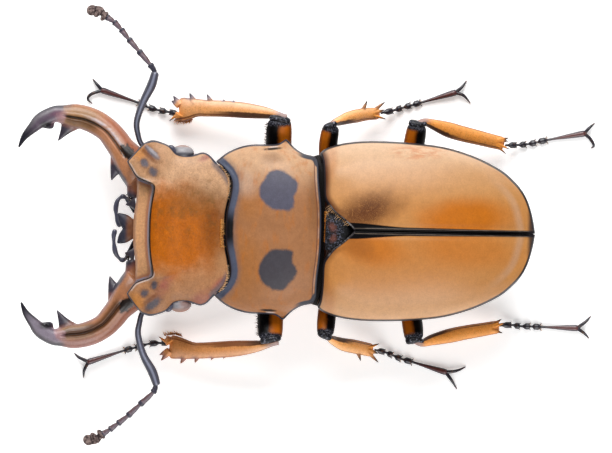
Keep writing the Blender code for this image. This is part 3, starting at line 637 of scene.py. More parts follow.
def skin_of_head():
    skin = Finish("tan shell of the head", Specular_IOR_Level=0.3, Coat_Weight=0.08, Coat_Roughness=0.3)
    cloud, grain = skin.noise(2.5, 4), skin.noise(0.09, 2)
    skin.colour = skin.mix(cloud, TAN, (196, 138, 88))
    # Painted light: the right side paler as if lit. Painted shade with a redder tone: the left side darker.
    skin.tint((230, 182, 142), ("X", 1.0, -5.5), 0.75)
    skin.tint((176, 118, 80), ("X", 1.5, 6.0), 0.6)
    lobes = skin.most(((-7.4, -17.2), (2.0, 2.0), 0, 0.5), ((7.4, -17.0), (2.0, 2.0), 0, 0.5))
    skin.tint((176, 124, 84), lobes, 0.6)
    red = skin.most(((6.3, -15.2), (1.6, 0.6), -0.66, 0.7, 0.6, 0.8), ((7.4, -10.9), (0.7, 1.6), 0.5, 0.7),
                    ((-7.6, -11.0), (0.3, 0.8), 0.5, 0.7), ((6.2, -9.5), (1.5, 0.5), -0.7, 0.7))
    skin.tint((160, 84, 78), red, (cloud, 0.25, 0.55), 0.75)
    middle = ((0.2, -14.3), (4.5, 5.5), 0, 0.3, 0.6, 1.8)
    skin.tint((200, 106, 4), middle, (grain, -0.2, 0.5))
    skin.tint((172, 86, 8), middle, (cloud, 0.45, 0.8), 0.5)
    skin.tint((112, 62, 14), ((-0.2, -9.9), (3.2, 1.5), 0, 0.7, 0.4), 0.6)
    skin.tint((132, 92, 50), ((-3.1, -12.2), (1.6, 2.4), 0.2, 0.8, 0.6, 1.2), 0.55)
    for side in (-1, 1):
        skin.tint((206, 130, 48), ((side * 7.9, -18.0), (0.9, 0.6), side * 0.8, 0.6), 0.8)
    marks = skin.most(*((middle, radii, turn, 0.5, 1.1, 0.4) for middle, radii, turn in HEAD_MARKS))
    halo = skin.most(*((middle, (radii[0] * 1.35, radii[1] * 1.6), turn, 0.5, 0.5, 0.5)
                       for middle, radii, turn in HEAD_MARKS))
    skin.tint((112, 70, 44), halo, 0.45)
    mark_colour = skin.mix(("X", 0, 2), skin.mix(grain, (84, 80, 92), (122, 116, 124)),
                           skin.mix(grain, (62, 60, 72), (98, 92, 100)))
    skin.tint(mark_colour, marks, 0.95)
    # A brown band beside the long mark on each lobe.
    brown_by_marks = skin.most(((-7.62, -17.2), (1.05, 0.24), 0.83, 0.6, 0.5, 0.4),
                      ((7.7, -16.75), (0.9, 0.24), -0.9, 0.6, 0.5, 0.4))
    skin.tint((124, 66, 16), brown_by_marks, 0.75)
    # Painted highlight: a pale streak along the long grey mark on the right lobe.
    skin.tint((188, 182, 188), ((-8.1, -16.8), (0.8, 0.15), 0.83, 0.7, 0.4, 0.3), 0.75)
    skin.tint((96, 92, 100), ("rear", 0.75, 0.25), ("off_middle", 4.2, 5.2), 0.75)
    skin.tint(SLATE, skin.most(("rim", 0.22, 0.12), ("front", 0.16, 0.08), ("rear", 0.12, 0.05)))
    inner = ("off_middle", 7.0, 6.6)
    # Painted shade: black on the front wall of the crest, between the lobes.
    skin.tint((18, 16, 18), inner, ("front", 0.22, 0.14), ("off_middle", 6.2, 5.2))
    lobe_line = skin.times(inner, ("off_middle", 4.6, 5.2))
    skin.tint((40, 42, 52), lobe_line, ("front", 0.16, 0.1))
    # Painted highlight: a pale line just behind the dark line on the inner edge of each lobe.
    skin.tint((222, 206, 198), ("front", 0.14, 0.2), ("front", 0.34, 0.24), lobe_line, 0.75)
    walls = skin.mix(cloud, (150, 92, 58), (112, 68, 46))
    skin.tint(walls, ("Z", EDGE_TOP - 0.1, EDGE_TOP - 0.5), 0.85)
    skin.set(Roughness=skin.sum(0.36, skin.times(cloud, 0.14)))
    skin.tint((120, 62, 20), (skin.noise(0.14, 3), 0.56, 0.72), 0.4)
    skin.colour = skin.mottle(skin.colour, 0.9, 0.7)
    olive = skin.times((skin.noise(1.1, 4, rough=0.7), 0.5, 0.66), ("X", 3.5, -1.0), ("X", -7.0, -4.5))
    skin.tint((122, 84, 36), olive, 0.4)
    return skin.done(0.2, 0.75, skin.sum(grain, skin.times(skin.noise(0.5, 3), 1.5)), 0.035)


def skin_of_brow():
    skin = Finish("tan shell of the brow", Roughness=0.5, Specular_IOR_Level=0.3)
    streaks = skin.noise(0.5, 3, (1, 4, 1))
    skin.colour = skin.mottle(skin.mix(streaks, (240, 182, 132), (212, 150, 102)), 0.25, 0.9)
    skin.tint((166, 100, 78), ("front", 0.6, 0.3), 0.7)
    # Painted highlight: a thin pale blue-grey line along the crest. Below it, painted shade: black in the
    # crease where the brow goes in under the crest.
    skin.tint((150, 148, 166), ("front", 0.2, 0.13), 0.85)
    skin.tint((30, 28, 34), ("front", 0.08, 0.04))
    skin.tint((150, 88, 62), ("mouth", 0.3, 0.05), 0.5)
    skin.set(Base_Color=skin.colour)
    return skin.bump(streaks, 0.02)


MOUTH_LINE = [brow_top(share, 1).xy for share in spread(24, 0.6)]
carry_gaps(crown, front=[FRONT_LINE], rear=[REAR_LINE], rim=SIDE_LINES)
carry(crown, "off_middle", lambda at: abs(at.x))
carry_gaps(brow, front=[FRONT_LINE], mouth=[MOUTH_LINE])
finish_piece("crown", crown, skin_of_head(), "head_shell", "head", levels=2)
finish_piece("brow", brow, skin_of_brow(), "head_shell", levels=2)

# %% [markdown]
# Below the brow sits the muzzle, the block between the two jaws that carries the lip and the small
# feelers of the mouth. It is a short sweep with a flat, broad section.

# %% Muzzle
UNDER = plain_skin("dark brown underside", 1.2, (92, 48, 26), (60, 30, 20), 0.25, 0.02, Roughness=0.35)
muzzle = sweep([(0.1, -16.0, 6.5), (0.1, -17.2, 6.3), (0.15, -18.35, 6.1)], [2.6, 2.5, 2.1], [1.8, 1.6, 1.25],
               8, 24, (0.1, 0.35), across=(1, 0, 0))
finish_piece("muzzle", muzzle, UNDER, "underside", levels=1)

# %% [markdown]
# ## Eyes
#
# Each compound eye is a bulging oval behind the lobe. Real facets are too fine to model, so the
# finish draws them as small rounded cells in the bump. A hard ridge, the canthus, runs over the eye
# from the front and holds it in the head's margin.

# %% Eyes


def skin_of_eyes():
    skin = Finish("faceted eye", Roughness=0.4, Coat_Weight=0.25, Coat_Roughness=0.2)
    skin.colour = skin.mottle(skin.mix(skin.noise(0.5, 3, (1, 2.5, 1)), (120, 118, 128), (196, 192, 194)),
                              0.2, 0.5)
    skin.tint((54, 56, 70), skin.most(("off_middle", 8.15, 7.85), ("Y", -14.0, -14.5)), 0.85)
    skin.tint((170, 116, 88), ("off_middle", 8.45, 8.85), 0.8)
    skin.tint((158, 108, 92), ("X", 0, 1), ("Y", -13.9, -13.2), 0.6)
    skin.set(Base_Color=skin.colour)
    return skin.bump(skin.cells(0.07), 0.015)


EYE_SKIN, EYE_HALF, EYE_MIDDLE = skin_of_eyes(), (0.86, 1.24, 1.06), (8.06, -13.58, 8.15)
CANTHUS = [(8.7, -15.15, 8.6), (8.6, -14.75, 8.75), (8.2, -14.35, 8.85), (7.8, -13.8, 9.0),
           (7.65, -13.1, 9.0), (7.75, -12.5, 8.8), (8.0, -12.1, 8.6)]
SLATE_SHELL = plain_skin("slate shell", 0.8, (50, 52, 68), (100, 100, 120), 0.12, 0.012, Roughness=0.32,
                         Coat_Weight=0.3, Coat_Roughness=0.2)
for side, side_name in SIDES:
    eye = bmesh.new()
    bmesh.ops.create_uvsphere(eye, u_segments=40, v_segments=26, radius=1)
    bmesh.ops.scale(eye, vec=EYE_HALF, verts=eye.verts)
    middle = (side * EYE_MIDDLE[0] + HEAD_SHIFT, *EYE_MIDDLE[1:])
    bmesh.ops.translate(eye, vec=middle, verts=eye.verts)
    carry(eye, "off_middle", lambda at: abs(at.x))
    finish_piece(f"eye_ball_{side_name}", eye, EYE_SKIN, "eye_facets", f"eye_{side_name}")
    canthus = [(side * x + HEAD_SHIFT, y, z) for x, y, z in CANTHUS]
    ridge = sweep(canthus, [0.16, 0.34, 0.18, 0.1, 0.09, 0.1, 0.08], [0.2, 0.32, 0.18, 0.12, 0.1, 0.1, 0.08],
                  20, 10, (0.1, 0.1))
    finish_piece(f"canthus_{side_name}", ridge, SLATE_SHELL, "head_shell", levels=1)
print("eyes: oval balls of", [round(value * 2, 2) for value in EYE_HALF])

# %% [markdown]
# ## Pronotum
#
# The shield behind the head is one plate, domed, with a raised slate margin in front and a beaded
# margin behind. Two slate spots with uneven edges lie on it. Their outlines are short lists of points
# measured on the plan, and the mesh carries the signed distance to them, which keeps the edge even
# and soft without any image. The plate wraps round to the underside, so it is one closed shell.

# %% Pronotum
SHIELD_SIDE = [
    (-10.0, 7.1), (-9.6, 7.45), (-8.9, 8.02), (-7.7, 8.62), (-6.3, 8.97), (-4.6, 9.02), (-3.4, 9.1),
    (-2.85, 9.45), (-2.6, 9.62), (-2.3, 9.4), (-1.8, 8.85), (-1.2, 8.4), (-0.6, 8.08), (0.1, 7.92),
    (0.6, 7.75), (0.95, 7.1),
]
SHIELD_FRONT = [(0, -8.85), (1.7, -8.78), (3.6, -8.4), (5.0, -8.32), (6.1, -8.9), (7.1, -10.0)]
SHIELD_ARCH = [(-10, 7.1), (-8.9, 8.02), (-6.3, 8.9), (-4.6, 9.0), (-2.6, 8.9), (-1.0, 8.4), (0.95, 7.9)]
SHIELD_REAR = [(0, 1.39), (2.4, 1.33), (5.1, 1.05), (7.1, 0.95)]
SHIELD_HEIGHT = [(-10.0, 2.7), (-8.4, 3.5), (-5.0, 4.3), (-2.0, 4.45), (0.95, 3.9)]
SHIELD_EDGE_Z, BELLY_Z = 7.5, 3.6
SCARS = ((-8.6, -3.95), (8.65, -4.1))
SPOTS = {
    -1: [(-6.1, -4.39), (-6.43, -3.25), (-5.69, -1.87), (-5.01, -1.17), (-4.25, -1.23), (-3.48, -1.67),
         (-2.57, -1.5), (-2.02, -2.1), (-2.07, -3.78), (-2.66, -4.63), (-3.57, -5.34), (-4.63, -5.28),
         (-5.41, -4.76)],
    1: [(2.13, -3.86), (2.11, -2.64), (2.24, -1.57), (3.54, -1.7), (4.22, -1.08), (4.9, -1.22),
        (6.46, -2.56), (6.47, -3.63), (5.73, -4.86), (4.52, -5.27), (3.76, -5.2), (2.67, -4.46)],
}


def shield_place(share, row):
    run = (row - SHIELD_SIDE[0][0]) / (SHIELD_SIDE[-1][0] - SHIELD_SIDE[0][0])
    front = value_at(SHIELD_FRONT, abs(share) * SHIELD_FRONT[-1][0])
    rear = value_at(SHIELD_REAR, abs(share) * SHIELD_REAR[-1][0])
    return share * value_at(SHIELD_SIDE, row), front * (1 - run) + rear * run


def shield_top(share, row):
    x, y = shield_place(share, row)
    front = (y - value_at(SHIELD_FRONT, min(abs(x), 7.0))) if abs(x) < 7.0 else 9
    rear = value_at(SHIELD_REAR, abs(x)) - y
    margin = 0.1 * hump(front, 0.3, 0.45) - 0.08 * hump(front, 0.82, 0.25)
    margin += 0.06 * hump(rear, 0.12, 0.22) - 0.06 * hump(rear, 0.42, 0.2)
    scar = 0.32 * sum(hump(x, across, 0.3) * hump(y, along_y, 0.95) for across, along_y in SCARS)
    middle_dip = 0.1 * hump(x, 0, 1.6) * hump(y, -4, 6)
    rise = value_at(SHIELD_HEIGHT, row) * dome(x / value_at(SHIELD_ARCH, row))
    return Vector((x, y, SHIELD_EDGE_Z + rise + margin - scar - middle_dip))


def shield_low(share, row):
    x, y = shield_place(share, row)
    keel = 0.35 * hump(x, 0, 0.9) * hump(y, -3.5, 4)
    edge = SHIELD_EDGE_Z - 0.55
    return Vector((x, y, edge - (edge - BELLY_Z) * (1 - share**2) + keel * 0.4))


def signed_gap(outline, point):
    """Distance on the plan to a closed outline, below 0 inside it."""
    closed = [Vector(at) for at in outline + outline[:1]]
    inside = False
    for first, second in zip(closed, closed[1:]):
        if (first.y > point.y) != (second.y > point.y):
            inside ^= point.x < first.x + (point.y - first.y) * (second.x - first.x) / (second.y - first.y)
    return -gap_to(closed, point) if inside else gap_to(closed, point)


shield_rows = [-10, -9.9, -9.75, -9.6, -9.45, -9.25, -9.0, -8.7, -8.4, -8.0, -7.6, -7.15, -6.7, -6.2,
               -5.7, -5.2, -4.7, -4.3, -3.9, -3.5, -3.15, -2.9, -2.7, -2.6, -2.5, -2.3, -2.0, -1.7,
               -1.4, -1.1, -0.8, -0.5, -0.2, 0.05, 0.3, 0.48, 0.62, 0.74, 0.84, 0.9, 0.95]
shield_columns = spread(44, 0.9)
pronotum = shell(shield_columns, shield_rows, shield_top, shield_low, 0.04)
front_margin, rear_margin, *side_margins = edges_of(shield_top, shield_columns, shield_rows)
carry_gaps(pronotum, front=[front_margin], rear=[rear_margin], rim=side_margins)
carry(pronotum, "spot", lambda at: signed_gap(SPOTS[1 if at.x > 0 else -1], at))


def skin_of_pronotum():
    skin = Finish("tan shell of the pronotum", Specular_IOR_Level=0.3, Coat_Weight=0.05, Coat_Roughness=0.3)
    cloud, grain = skin.noise(3.0, 4), skin.noise(0.16, 3, (2.5, 1, 1))
    skin.colour = skin.mix(cloud, (184, 128, 86), (168, 112, 72))
    # Painted light: the right side paler as if lit.
    skin.tint((232, 186, 144), ("X", -3.0, -7.5), 0.75)
    skin.tint((190, 126, 76), ("X", 2.0, 7.5), 0.6)
    warm = skin.most(((-2.9, -6.2), (1.8, 1.1), 0, 0.7), ((3.4, -6.4), (2.6, 1.3), 0, 0.7))
    skin.tint((188, 118, 56), warm, 0.5)
    skin.tint((218, 184, 160), ((-5.0, -7.0), (1.6, 1.1), 0.6, 0.6), 0.5)
    skin.tint((206, 118, 40), (skin.noise(0.8, 3, (3, 1, 1)), 0.5, 0.72), 0.4)
    shade = skin.most(((-3.2, 0.5), (3.0, 0.6), 0, 0.7), ((-7.6, -4.0), (0.5, 1.0), 0, 0.8))
    skin.tint((126, 84, 50), shade, 0.5)
    uneven = skin.uneven(0.6, 0.28)
    spot = (skin.sum("spot", uneven, skin.times(skin.sum(grain, -0.5), 0.2)), 0.2, -0.2)
    spot_colour = skin.mix(("X", 1, -1), (66, 66, 74), (90, 92, 112))
    skin.tint(skin.over(spot_colour, (74, 74, 86), skin.noise(0.5, 3), 0.5), spot, 0.97)
    skin.tint(skin.mix(cloud, (110, 62, 34), (74, 40, 26)), ("Z", 7.3, 6.9))
    band = skin.times((skin.sum("front", skin.times(uneven, 0.4)), 0.96, 0.7), ("Z", 7.0, 7.3))
    band_colour = skin.mix(((0.1, -8.5), (1.7, 1.2), 0, 0.6), (88, 94, 114), (14, 14, 18))
    band_colour = skin.over(band_colour, (34, 34, 42), ("front", 0.26, 0.1))
    skin.tint((136, 120, 118), (skin.sum("front", skin.times(uneven, 1.2)), 1.5, 0.8), 0.45)
    skin.tint(band_colour, band)
    rim = skin.most(("rim", 0.2, 0.1), ("rear", 0.26, 0.18))
    thin = skin.times(("rear", 0.36, 0.42), ("rear", 0.54, 0.46))
    corner = skin.times(("rim", 0.5, 0.36), ("Y", -1.6, -0.6))
    # A pale brown line inside the rear bead, with a painted highlight on it.
    pale = skin.times(("rear", 0.2, 0.28), ("rear", 0.42, 0.34))
    skin.tint((206, 178, 166), pale, (skin.noise(0.9, 3), 0.35, 0.7), 0.4)
    skin.tint((104, 60, 52), thin, 0.75)
    skin.tint((56, 57, 68), skin.most(rim, corner))
    # Painted shade: the crease of each scar near black.
    scar = skin.most((SCARS[0], (0.15, 0.85), 0.1, 0.4, 0.9, 0.3),
                     (SCARS[1], (0.14, 0.8), -0.05, 0.4, 0.9, 0.3))
    skin.tint((26, 18, 18), scar, 0.95)
    # Painted highlight: a pale streak beside each scar.
    light = skin.most(((-8.8, -3.85), (0.07, 0.55), 0.1, 0.4, 0.6, 0.3),
                      ((8.86, -3.9), (0.07, 0.5), -0.05, 0.4, 0.6, 0.3))
    skin.tint((236, 216, 206), light, 0.85)
    skin.colour = skin.mottle(skin.mottle(skin.colour, 0.6, 0.45), 0.17, 0.5)
    skin.set(Base_Color=skin.colour, Roughness=skin.sum(0.4, skin.times(cloud, 0.14), skin.times(spot, 0.1)))
    return skin.bump(skin.sum(grain, skin.times(skin.noise(0.06, 2), 0.7)), 0.014)


finish_piece("pronotum", pronotum, skin_of_pronotum(), "shield_shell", "prothorax", levels=1)
print("pronotum is", round(SHIELD_REAR[0][1] - SHIELD_FRONT[0][1], 1), "mm long in the middle")

# %% [markdown]
# Dark soft skin joins the head to the pronotum and the pronotum to the body behind it. It shows only
# as a shadow line between the plates, so two short plain bodies inside the shells are enough.

# %% Neck and waist
NECK_SKIN = plain_skin("dark soft skin", 0.5, (34, 24, 22), (14, 12, 14), 0.2, 0.03, 3, Roughness=0.6,
                       Specular_IOR_Level=0.2)
for name, line, half in (("neck", [(0.1, -11.0, 6.5), (0.1, -9.3, 6.5), (0.1, -7.4, 6.5)], 6.9),
                         ("waist", [(0, -0.6, 7.0), (0, 1.3, 7.0), (0, 3.2, 7.0)], 8.15)):
    tube = sweep(line, [half * 0.93, half, half * 0.99], [1.9] * 3, 12, 40, (0.4, 0.4), across=(1, 0, 0))
    finish_piece(name, tube, NECK_SKIN, "underside", levels=1)

# %% [markdown]
# ## Wing cases
#
# The two elytra are long domed shells that meet in a straight seam. Each is made on its own, so the
# seam is a real gap. The grid's first column follows the seam and the scutellum's flank, and the last
# one the outer margin, where the case ends in a thin raised edge. Near the tip the surface dips just
# inside that edge; this furrow catches the pale curved light there, and a painted highlight along it
# adds to that. The finish also paints highlights on both flanks, a pale line on the raised edges
# beside the seam and pale flecks by the scutellum, and paints the right side paler as if lit.

# %% Wing cases
CASE_SIDE = [
    (1.1, 8.3), (1.4, 8.6), (1.9, 8.88), (3.3, 9.33), (5.5, 9.62), (8.2, 9.66), (11.2, 9.52), (14.5, 9.12),
    (17.4, 8.27), (19.2, 7.47), (20.9, 6.47), (22.35, 5.12),
]
CASE_FRONT = [
    (0.1, 4.8), (0.45, 4.52), (0.75, 4.15), (1.25, 3.62), (1.6, 3.1), (1.95, 2.65), (2.4, 2.35), (2.85, 2.0),
    (3.3, 1.7), (4.0, 1.6), (5.5, 1.58), (7.5, 1.4), (8.3, 1.1),
]
CASE_REAR = [(0.15, 24.15), (1.5, 23.93), (3.1, 23.5), (4.2, 23.0), (5.12, 22.35)]
CASE_HEIGHT = [(1.1, 4.3), (3.0, 4.8), (8.0, 5.1), (13.0, 4.95), (17.5, 4.0), (21.0, 2.6), (23.2, 1.2),
               (24.2, 0.3)]
CASE_EDGE_Z, CASE_THICK, SEAM = 7.7, 0.75, 0.04


def case_plan(share, row):
    run = (row - CASE_SIDE[0][0]) / (CASE_SIDE[-1][0] - CASE_SIDE[0][0])
    front = value_at(CASE_FRONT, max(0.1, share * CASE_FRONT[-1][0]))
    rear = value_at(CASE_REAR, max(0.15, share * CASE_REAR[-1][0]))
    return front * (1 - run) + rear * run


def case_point(side, share, row, inset):
    half = value_at(CASE_SIDE, row) - inset
    y = case_plan(share, row)
    x = SEAM + share * (half - SEAM)
    rise = max(0.0, value_at(CASE_HEIGHT, y) - inset) * dome(x / half)
    relief = 0
    if not inset:
        margin = min(half - x, gap_to(CASE_TIP, Vector((x, y))))
        shoulder = 0.25 * hump(x, 6.3, 1.8) * hump(y, 3.0, 2.4)
        furrow = 0.16 * hump(margin, 1.15, 0.55) * smooth_step(y, 16.5, 20.5)
        beside_seam = 0.1 * hump(x, 0.55, 0.35) * smooth_step(y, 4.5, 7)
        relief = shoulder - furrow - beside_seam + 0.1 * hump(margin, 0.12, 0.2)
    return Vector((side * x, y, CASE_EDGE_Z - min(inset, 0.6) + rise + relief))


CASE_TIP = [along(CASE_REAR, k / 16) for k in range(17)]


def skin_of_cases():
    skin = Finish("satin orange wing case", Specular_IOR_Level=0.35, Coat_Weight=0.1, Coat_Roughness=0.3)
    cloud, grain = skin.noise(3.2, 4, (1, 2.5, 1)), skin.noise(0.11, 2)
    far, length = skin.carried("off_middle"), skin.axis("Y")
    skin.colour = skin.mix(cloud, (220, 156, 92), (208, 138, 72))
    # Painted light: the right side paler as if lit.
    skin.tint((226, 180, 136), ("X", -2.5, -8.0), 0.6)
    # Painted highlight on the left flank.
    skin.tint((240, 186, 138), ("X", 5.0, 9.0), 0.7)
    skin.tint((208, 128, 54), ("X", 0.0, 1.5), ("X", 8.0, 4.0), (length, 20, 13), 0.4)
    # Painted highlight on the right flank, near the outer margin.
    skin.tint((246, 212, 180), ("X", -6.0, -9.2), 0.55)
    glow = skin.most(((-1.4, 16.6), (2.1, 4.6), 0.1, 0.5, 0.3, 2.5),
                     skin.times(((1.6, 17.0), (2.0, 5.0), -0.1, 0.6, 0.3, 2.5), 0.55),
                     skin.times(((1.7, 6.6), (1.7, 3.4), -0.2, 0.6, 0.3, 2.0), 0.8))
    skin.tint((212, 116, 8), glow, 0.9)
    skin.tint((106, 58, 20), ((-2.0, 6.0), (1.6, 3.3), 0.4, 0.8, 0.5, 1.6), (grain, 0.0, 0.55))
    skin.tint((140, 82, 34), ((1.6, 5.2), (1.1, 1.9), -0.6, 0.7, 0.6, 1.4), 0.45)
    brown_end = skin.most(((-7.2, 2.2), (2.0, 0.7), -0.1, 0.6), ((7.2, 2.2), (2.0, 0.7), 0.1, 0.6))
    skin.tint((190, 110, 48), brown_end, 0.4)
    # Painted highlight: a pale band in the furrow inside the margin near the tip.
    lit = skin.times(("margin", 0.9, 1.4), ("margin", 2.2, 1.5), (length, 18.0, 22.0))
    skin.tint((222, 182, 150), lit, 0.4)
    narrow = skin.sum(0.34, skin.times((length, 11, 4), 0.42), skin.times((length, 22, 10), 0.1))
    seam_band = (skin.sum(far, skin.times(narrow, -1)), 0.07, -0.05)
    # Painted highlight: a pale line inside the black seam band, on the raised edge of each case.
    seam_highlight = skin.times((far, 0.22, 0.26), (far, 0.34, 0.29), skin.noise(0.4, 2, (1, 4, 1)))
    skin.tint((20, 18, 20), seam_band)
    skin.tint((132, 118, 106), seam_highlight, seam_band, 1.3)
    skin.tint((104, 54, 16), ("front", 0.9, 0.2), (far, 9.6, 8.2), (far, 1.5, 2.2), ("X", 12, -6))
    reddish = skin.times(((-8.55, 11.6), (0.8, 2.6), 0, 0.5), (skin.noise(0.4, 3, (1, 3, 1)), 0.4, 0.6))
    skin.tint((214, 120, 60), reddish, 0.5)
    tip, root = skin.times((length, 23.2, 23.75), 0.9), ("front", 0.24, 0.12)
    skin.tint((44, 40, 44), skin.most(("margin", 0.31, 0.2), tip, root))
    # Painted highlight: pale flecks along the front edges of the cases beside the scutellum.
    lip = skin.times((far, 2.9, 2.4), ("front", 0.2, 0.08))
    skin.tint((180, 174, 172), lip, (skin.noise(0.5, 3), 0.4, 0.7), 0.6)
    skin.colour = skin.mottle(skin.mottle(skin.colour, 0.8, 0.35), 0.17, 0.42)
    skin.set(Base_Color=skin.colour, Roughness=skin.sum(0.38, skin.times(cloud, 0.14)),
             Specular_IOR_Level=skin.sum(skin.times(skin.most(seam_band, root), -0.3), 0.35))
    return skin.bump(skin.sum(grain, skin.times(skin.noise(0.9, 3), 0.8)), 0.018)


CASE_SKIN = skin_of_cases()
case_start, case_end = CASE_SIDE[0][0], CASE_SIDE[-1][0]
case_rows = [case_start + (case_end - case_start) * part for part in
             (0, 0.006, 0.014, 0.026, 0.045, 0.07, 0.1, 0.135, 0.17, 0.21, 0.25, 0.29, 0.33, 0.37, 0.41,
              0.45, 0.49, 0.53, 0.57, 0.61, 0.65, 0.69, 0.73, 0.77, 0.81, 0.845, 0.875, 0.9, 0.922,
              0.94, 0.956, 0.97, 0.982, 0.991, 1)]
case_columns = [0, 0.012, 0.026, 0.042, 0.06, 0.08, 0.11, 0.15, 0.19, 0.235, 0.29, 0.345, 0.4, 0.46,
                0.54, 0.62, 0.7, 0.77, 0.83, 0.88, 0.92, 0.95, 0.972, 0.987, 1]
for side, side_name in SIDES:
    case = shell(case_columns, case_rows, lambda share, row: case_point(side, share, row, 0),
                 lambda share, row: case_point(side, share, row, CASE_THICK), 0.03)
    margin = [case_point(side, 1, row, 0).xy for row in case_rows]
    margin += [case_point(side, share, case_rows[-1], 0).xy for share in reversed(case_columns[:-1])]
    front_edge = [case_point(side, share, case_rows[0], 0).xy for share in case_columns]
    carry_gaps(case, margin=[margin], front=[front_edge])
    carry(case, "off_middle", lambda at: abs(at.x))
    finish_piece(f"wing_case_{side_name}", case, CASE_SKIN, "wing_case", f"elytron_{side_name}", levels=1)
print("wing cases:", len(case_columns) * len(case_rows) * 2, "points each before smoothing")

# %% [markdown]
# ## Scutellum
#
# A small dark triangle lies between the roots of the wing cases, a little lower than they do. A short
# sweep that narrows to nothing gives its outline, and the section's dome its slight arch.

# %% Scutellum


def skin_of_scutellum():
    skin = Finish("black plate", Roughness=0.5, Specular_IOR_Level=0.2)
    skin.colour = skin.mix((skin.noise(0.17, 4), 0.47, 0.68), (5, 5, 9), (92, 94, 110))
    reddish = skin.most(((-0.36, 2.55), (0.5, 0.32), 0.5, 0.7, 1.4, 0.3),
                        ((0.8, 2.66), (0.42, 0.3), -0.5, 0.7, 1.4, 0.3))
    skin.tint((120, 72, 60), reddish, 0.8)
    skin.tint((14, 13, 16), ("Y", 3.4, 4.0))
    return skin.done(0.12, 0.9, skin.noise(0.14, 3), 0.08)


PLATE = [(0.13, 1.8, 11.85), (0.14, 2.3, 11.95), (0.15, 2.92, 12.05), (0.15, 3.55, 12.1), (0.14, 4.08, 12.1),
         (0.13, 4.5, 12.0)]
triangle = sweep(PLATE, [1.98, 1.93, 1.7, 1.33, 0.8, 0.15], [0.35, 0.45, 0.45, 0.42, 0.35, 0.15], 16, 30,
                 (0.1, 0.04), across=(1, 0, 0))
finish_piece("scutellum_plate", triangle, skin_of_scutellum(), "scutellum_shell", "scutellum", levels=1)

# %% [markdown]
# ## Body under the wing cases
#
# From the side and from below the beetle shows a dark brown body: a thorax block that carries the
# middle and hind legs, and an abdomen with rings. Both follow the wing cases from inside. The rings
# are shallow furrows in the lower surface. The folded wings show only as a dark line in the seam.

# %% Body below
BODY_TOP, BELLY_RINGS = 6.8, 5


def body_half(y):
    tail = [(19.0, 6.43), (20.4, 5.6), (21.6, 4.6), (22.6, 3.45), (23.2, 2.4), (23.6, 1.0)]
    return min(value_at(CASE_SIDE, y) - 1.0, 7.0 + (y - 1.75) * 1.2) if y <= tail[0][0] else value_at(tail, y)


def body_top(share, y):
    rise = max(0.0, value_at(CASE_HEIGHT, y + 0.35) - 1.5) * dome(share)
    under_scutellum = 0.9 * max(0.0, 1 - abs(y - 2.4) / 3.4) * max(0.0, 1 - abs(share) * 2.2)
    return Vector((share * body_half(y), y, BODY_TOP + rise - under_scutellum))


def body_low(share, y, start, end, rings):
    run = (y - start) / (end - start)
    deep = (BODY_TOP - 0.5 - BELLY_Z) * (1 - share**2) * (1 - (0.85 * run**2.2 if rings else 0))
    furrow = 0.22 * hump((run * rings) % 1, 0, 0.14) * dome(share) if rings else 0
    furrow += 0.2 * hump(abs(share * body_half(y)), 0, 0.25) * (0 if rings else 1)
    return Vector((share * body_half(y), y, BODY_TOP - 0.5 - deep + furrow))


for name, node, start, end, rings in (("thorax_block", "pterothorax", 1.75, 11.45, 0),
                                      ("belly", "abdomen", 11.8, 23.6, BELLY_RINGS)):
    body_rows = [start + (end - start) * k / 60 for k in range(61)]
    body = shell(spread(30, 0.9), body_rows, body_top,
                 lambda share, y: body_low(share, y, start, end, rings), 0.05)
    finish_piece(name, body, UNDER, "underside", node)
seam_line = [(0, y, CASE_EDGE_Z - 1.75 + value_at(CASE_HEIGHT, y)) for y in (4.4, 8, 12, 16, 19.5, 22, 24)]
wings = sweep(seam_line, [0.6] * 6 + [0.3], [0.3] * 6 + [0.1], 40, 12, (0.1, 0.1), across=(1, 0, 0))
finish_piece("folded_wings", wings, NECK_SKIN, "underside", levels=1)
print("belly rings:", BELLY_RINGS)

# %% [markdown]
# ## Jaws
#
# The mandibles are long curved horns with teeth on the inner edge. The centre line comes from
# measured stations, the two jaws differ a little, and each tooth is a short sweep that starts deep
# inside the horn. The last entry is the broad heel that runs in along the brow. Fusing them by a
# fine remesh gives one skin with soft hollows at the teeth, which separate parts can't have. After
# that the furrow along the upper face is pressed in.

# %% Sizes of the jaws
JAW = [
    (5.8, -17.85, 5.8, 2.3, 1.6), (6.75, -18.85, 5.9, 1.95, 1.75), (8.22, -20.02, 5.85, 1.46, 1.6),
    (9.28, -20.8, 5.75, 1.38, 1.4), (10.26, -21.66, 5.65, 1.3, 1.25), (11.05, -22.85, 5.6, 1.32, 1.15),
    (11.55, -24.1, 5.6, 1.3, 1.1), (11.75, -25.3, 5.6, 1.28, 1.05), (11.87, -26.4, 5.65, 1.02, 1.0),
    (11.87, -27.4, 5.75, 0.88, 0.85), (11.22, -28.75, 5.85, 0.82, 0.75), (10.42, -29.6, 6.0, 0.6, 0.55),
    (9.4, -30.52, 6.2, 0.36, 0.35), (8.25, -31.1, 6.4, 0.1, 0.1),
]
LEFT_JAW_SHIFT = [(-27, 0), (-25, 0.08), (-23, 0.25), (-21, 0.4), (-18, 0.45)]
LEFT_JAW_SHORTER, SHORTER_FROM, SHORTER_RUN = 0.55, -24.5, 6.6
JAW_TEETH = [
    [(2.5, -18.5, 6.0), (2.44, -19.05, 6.0), (2.38, -19.6, 6.0)],
    [(7.35, -19.9, 6.0), (6.15, -20.68, 5.95), (4.9, -21.15, 5.9)],
    [(11.5, -25.3, 5.65), (10.25, -26.12, 5.65), (9.02, -26.92, 5.7)],
    [(11.6, -27.9, 5.8), (11.1, -28.08, 5.7), (10.32, -28.2, 5.7)],
    [(6.2, -18.6, 6.0), (4.6, -18.75, 6.0), (3.1, -18.85, 6.0)],
]
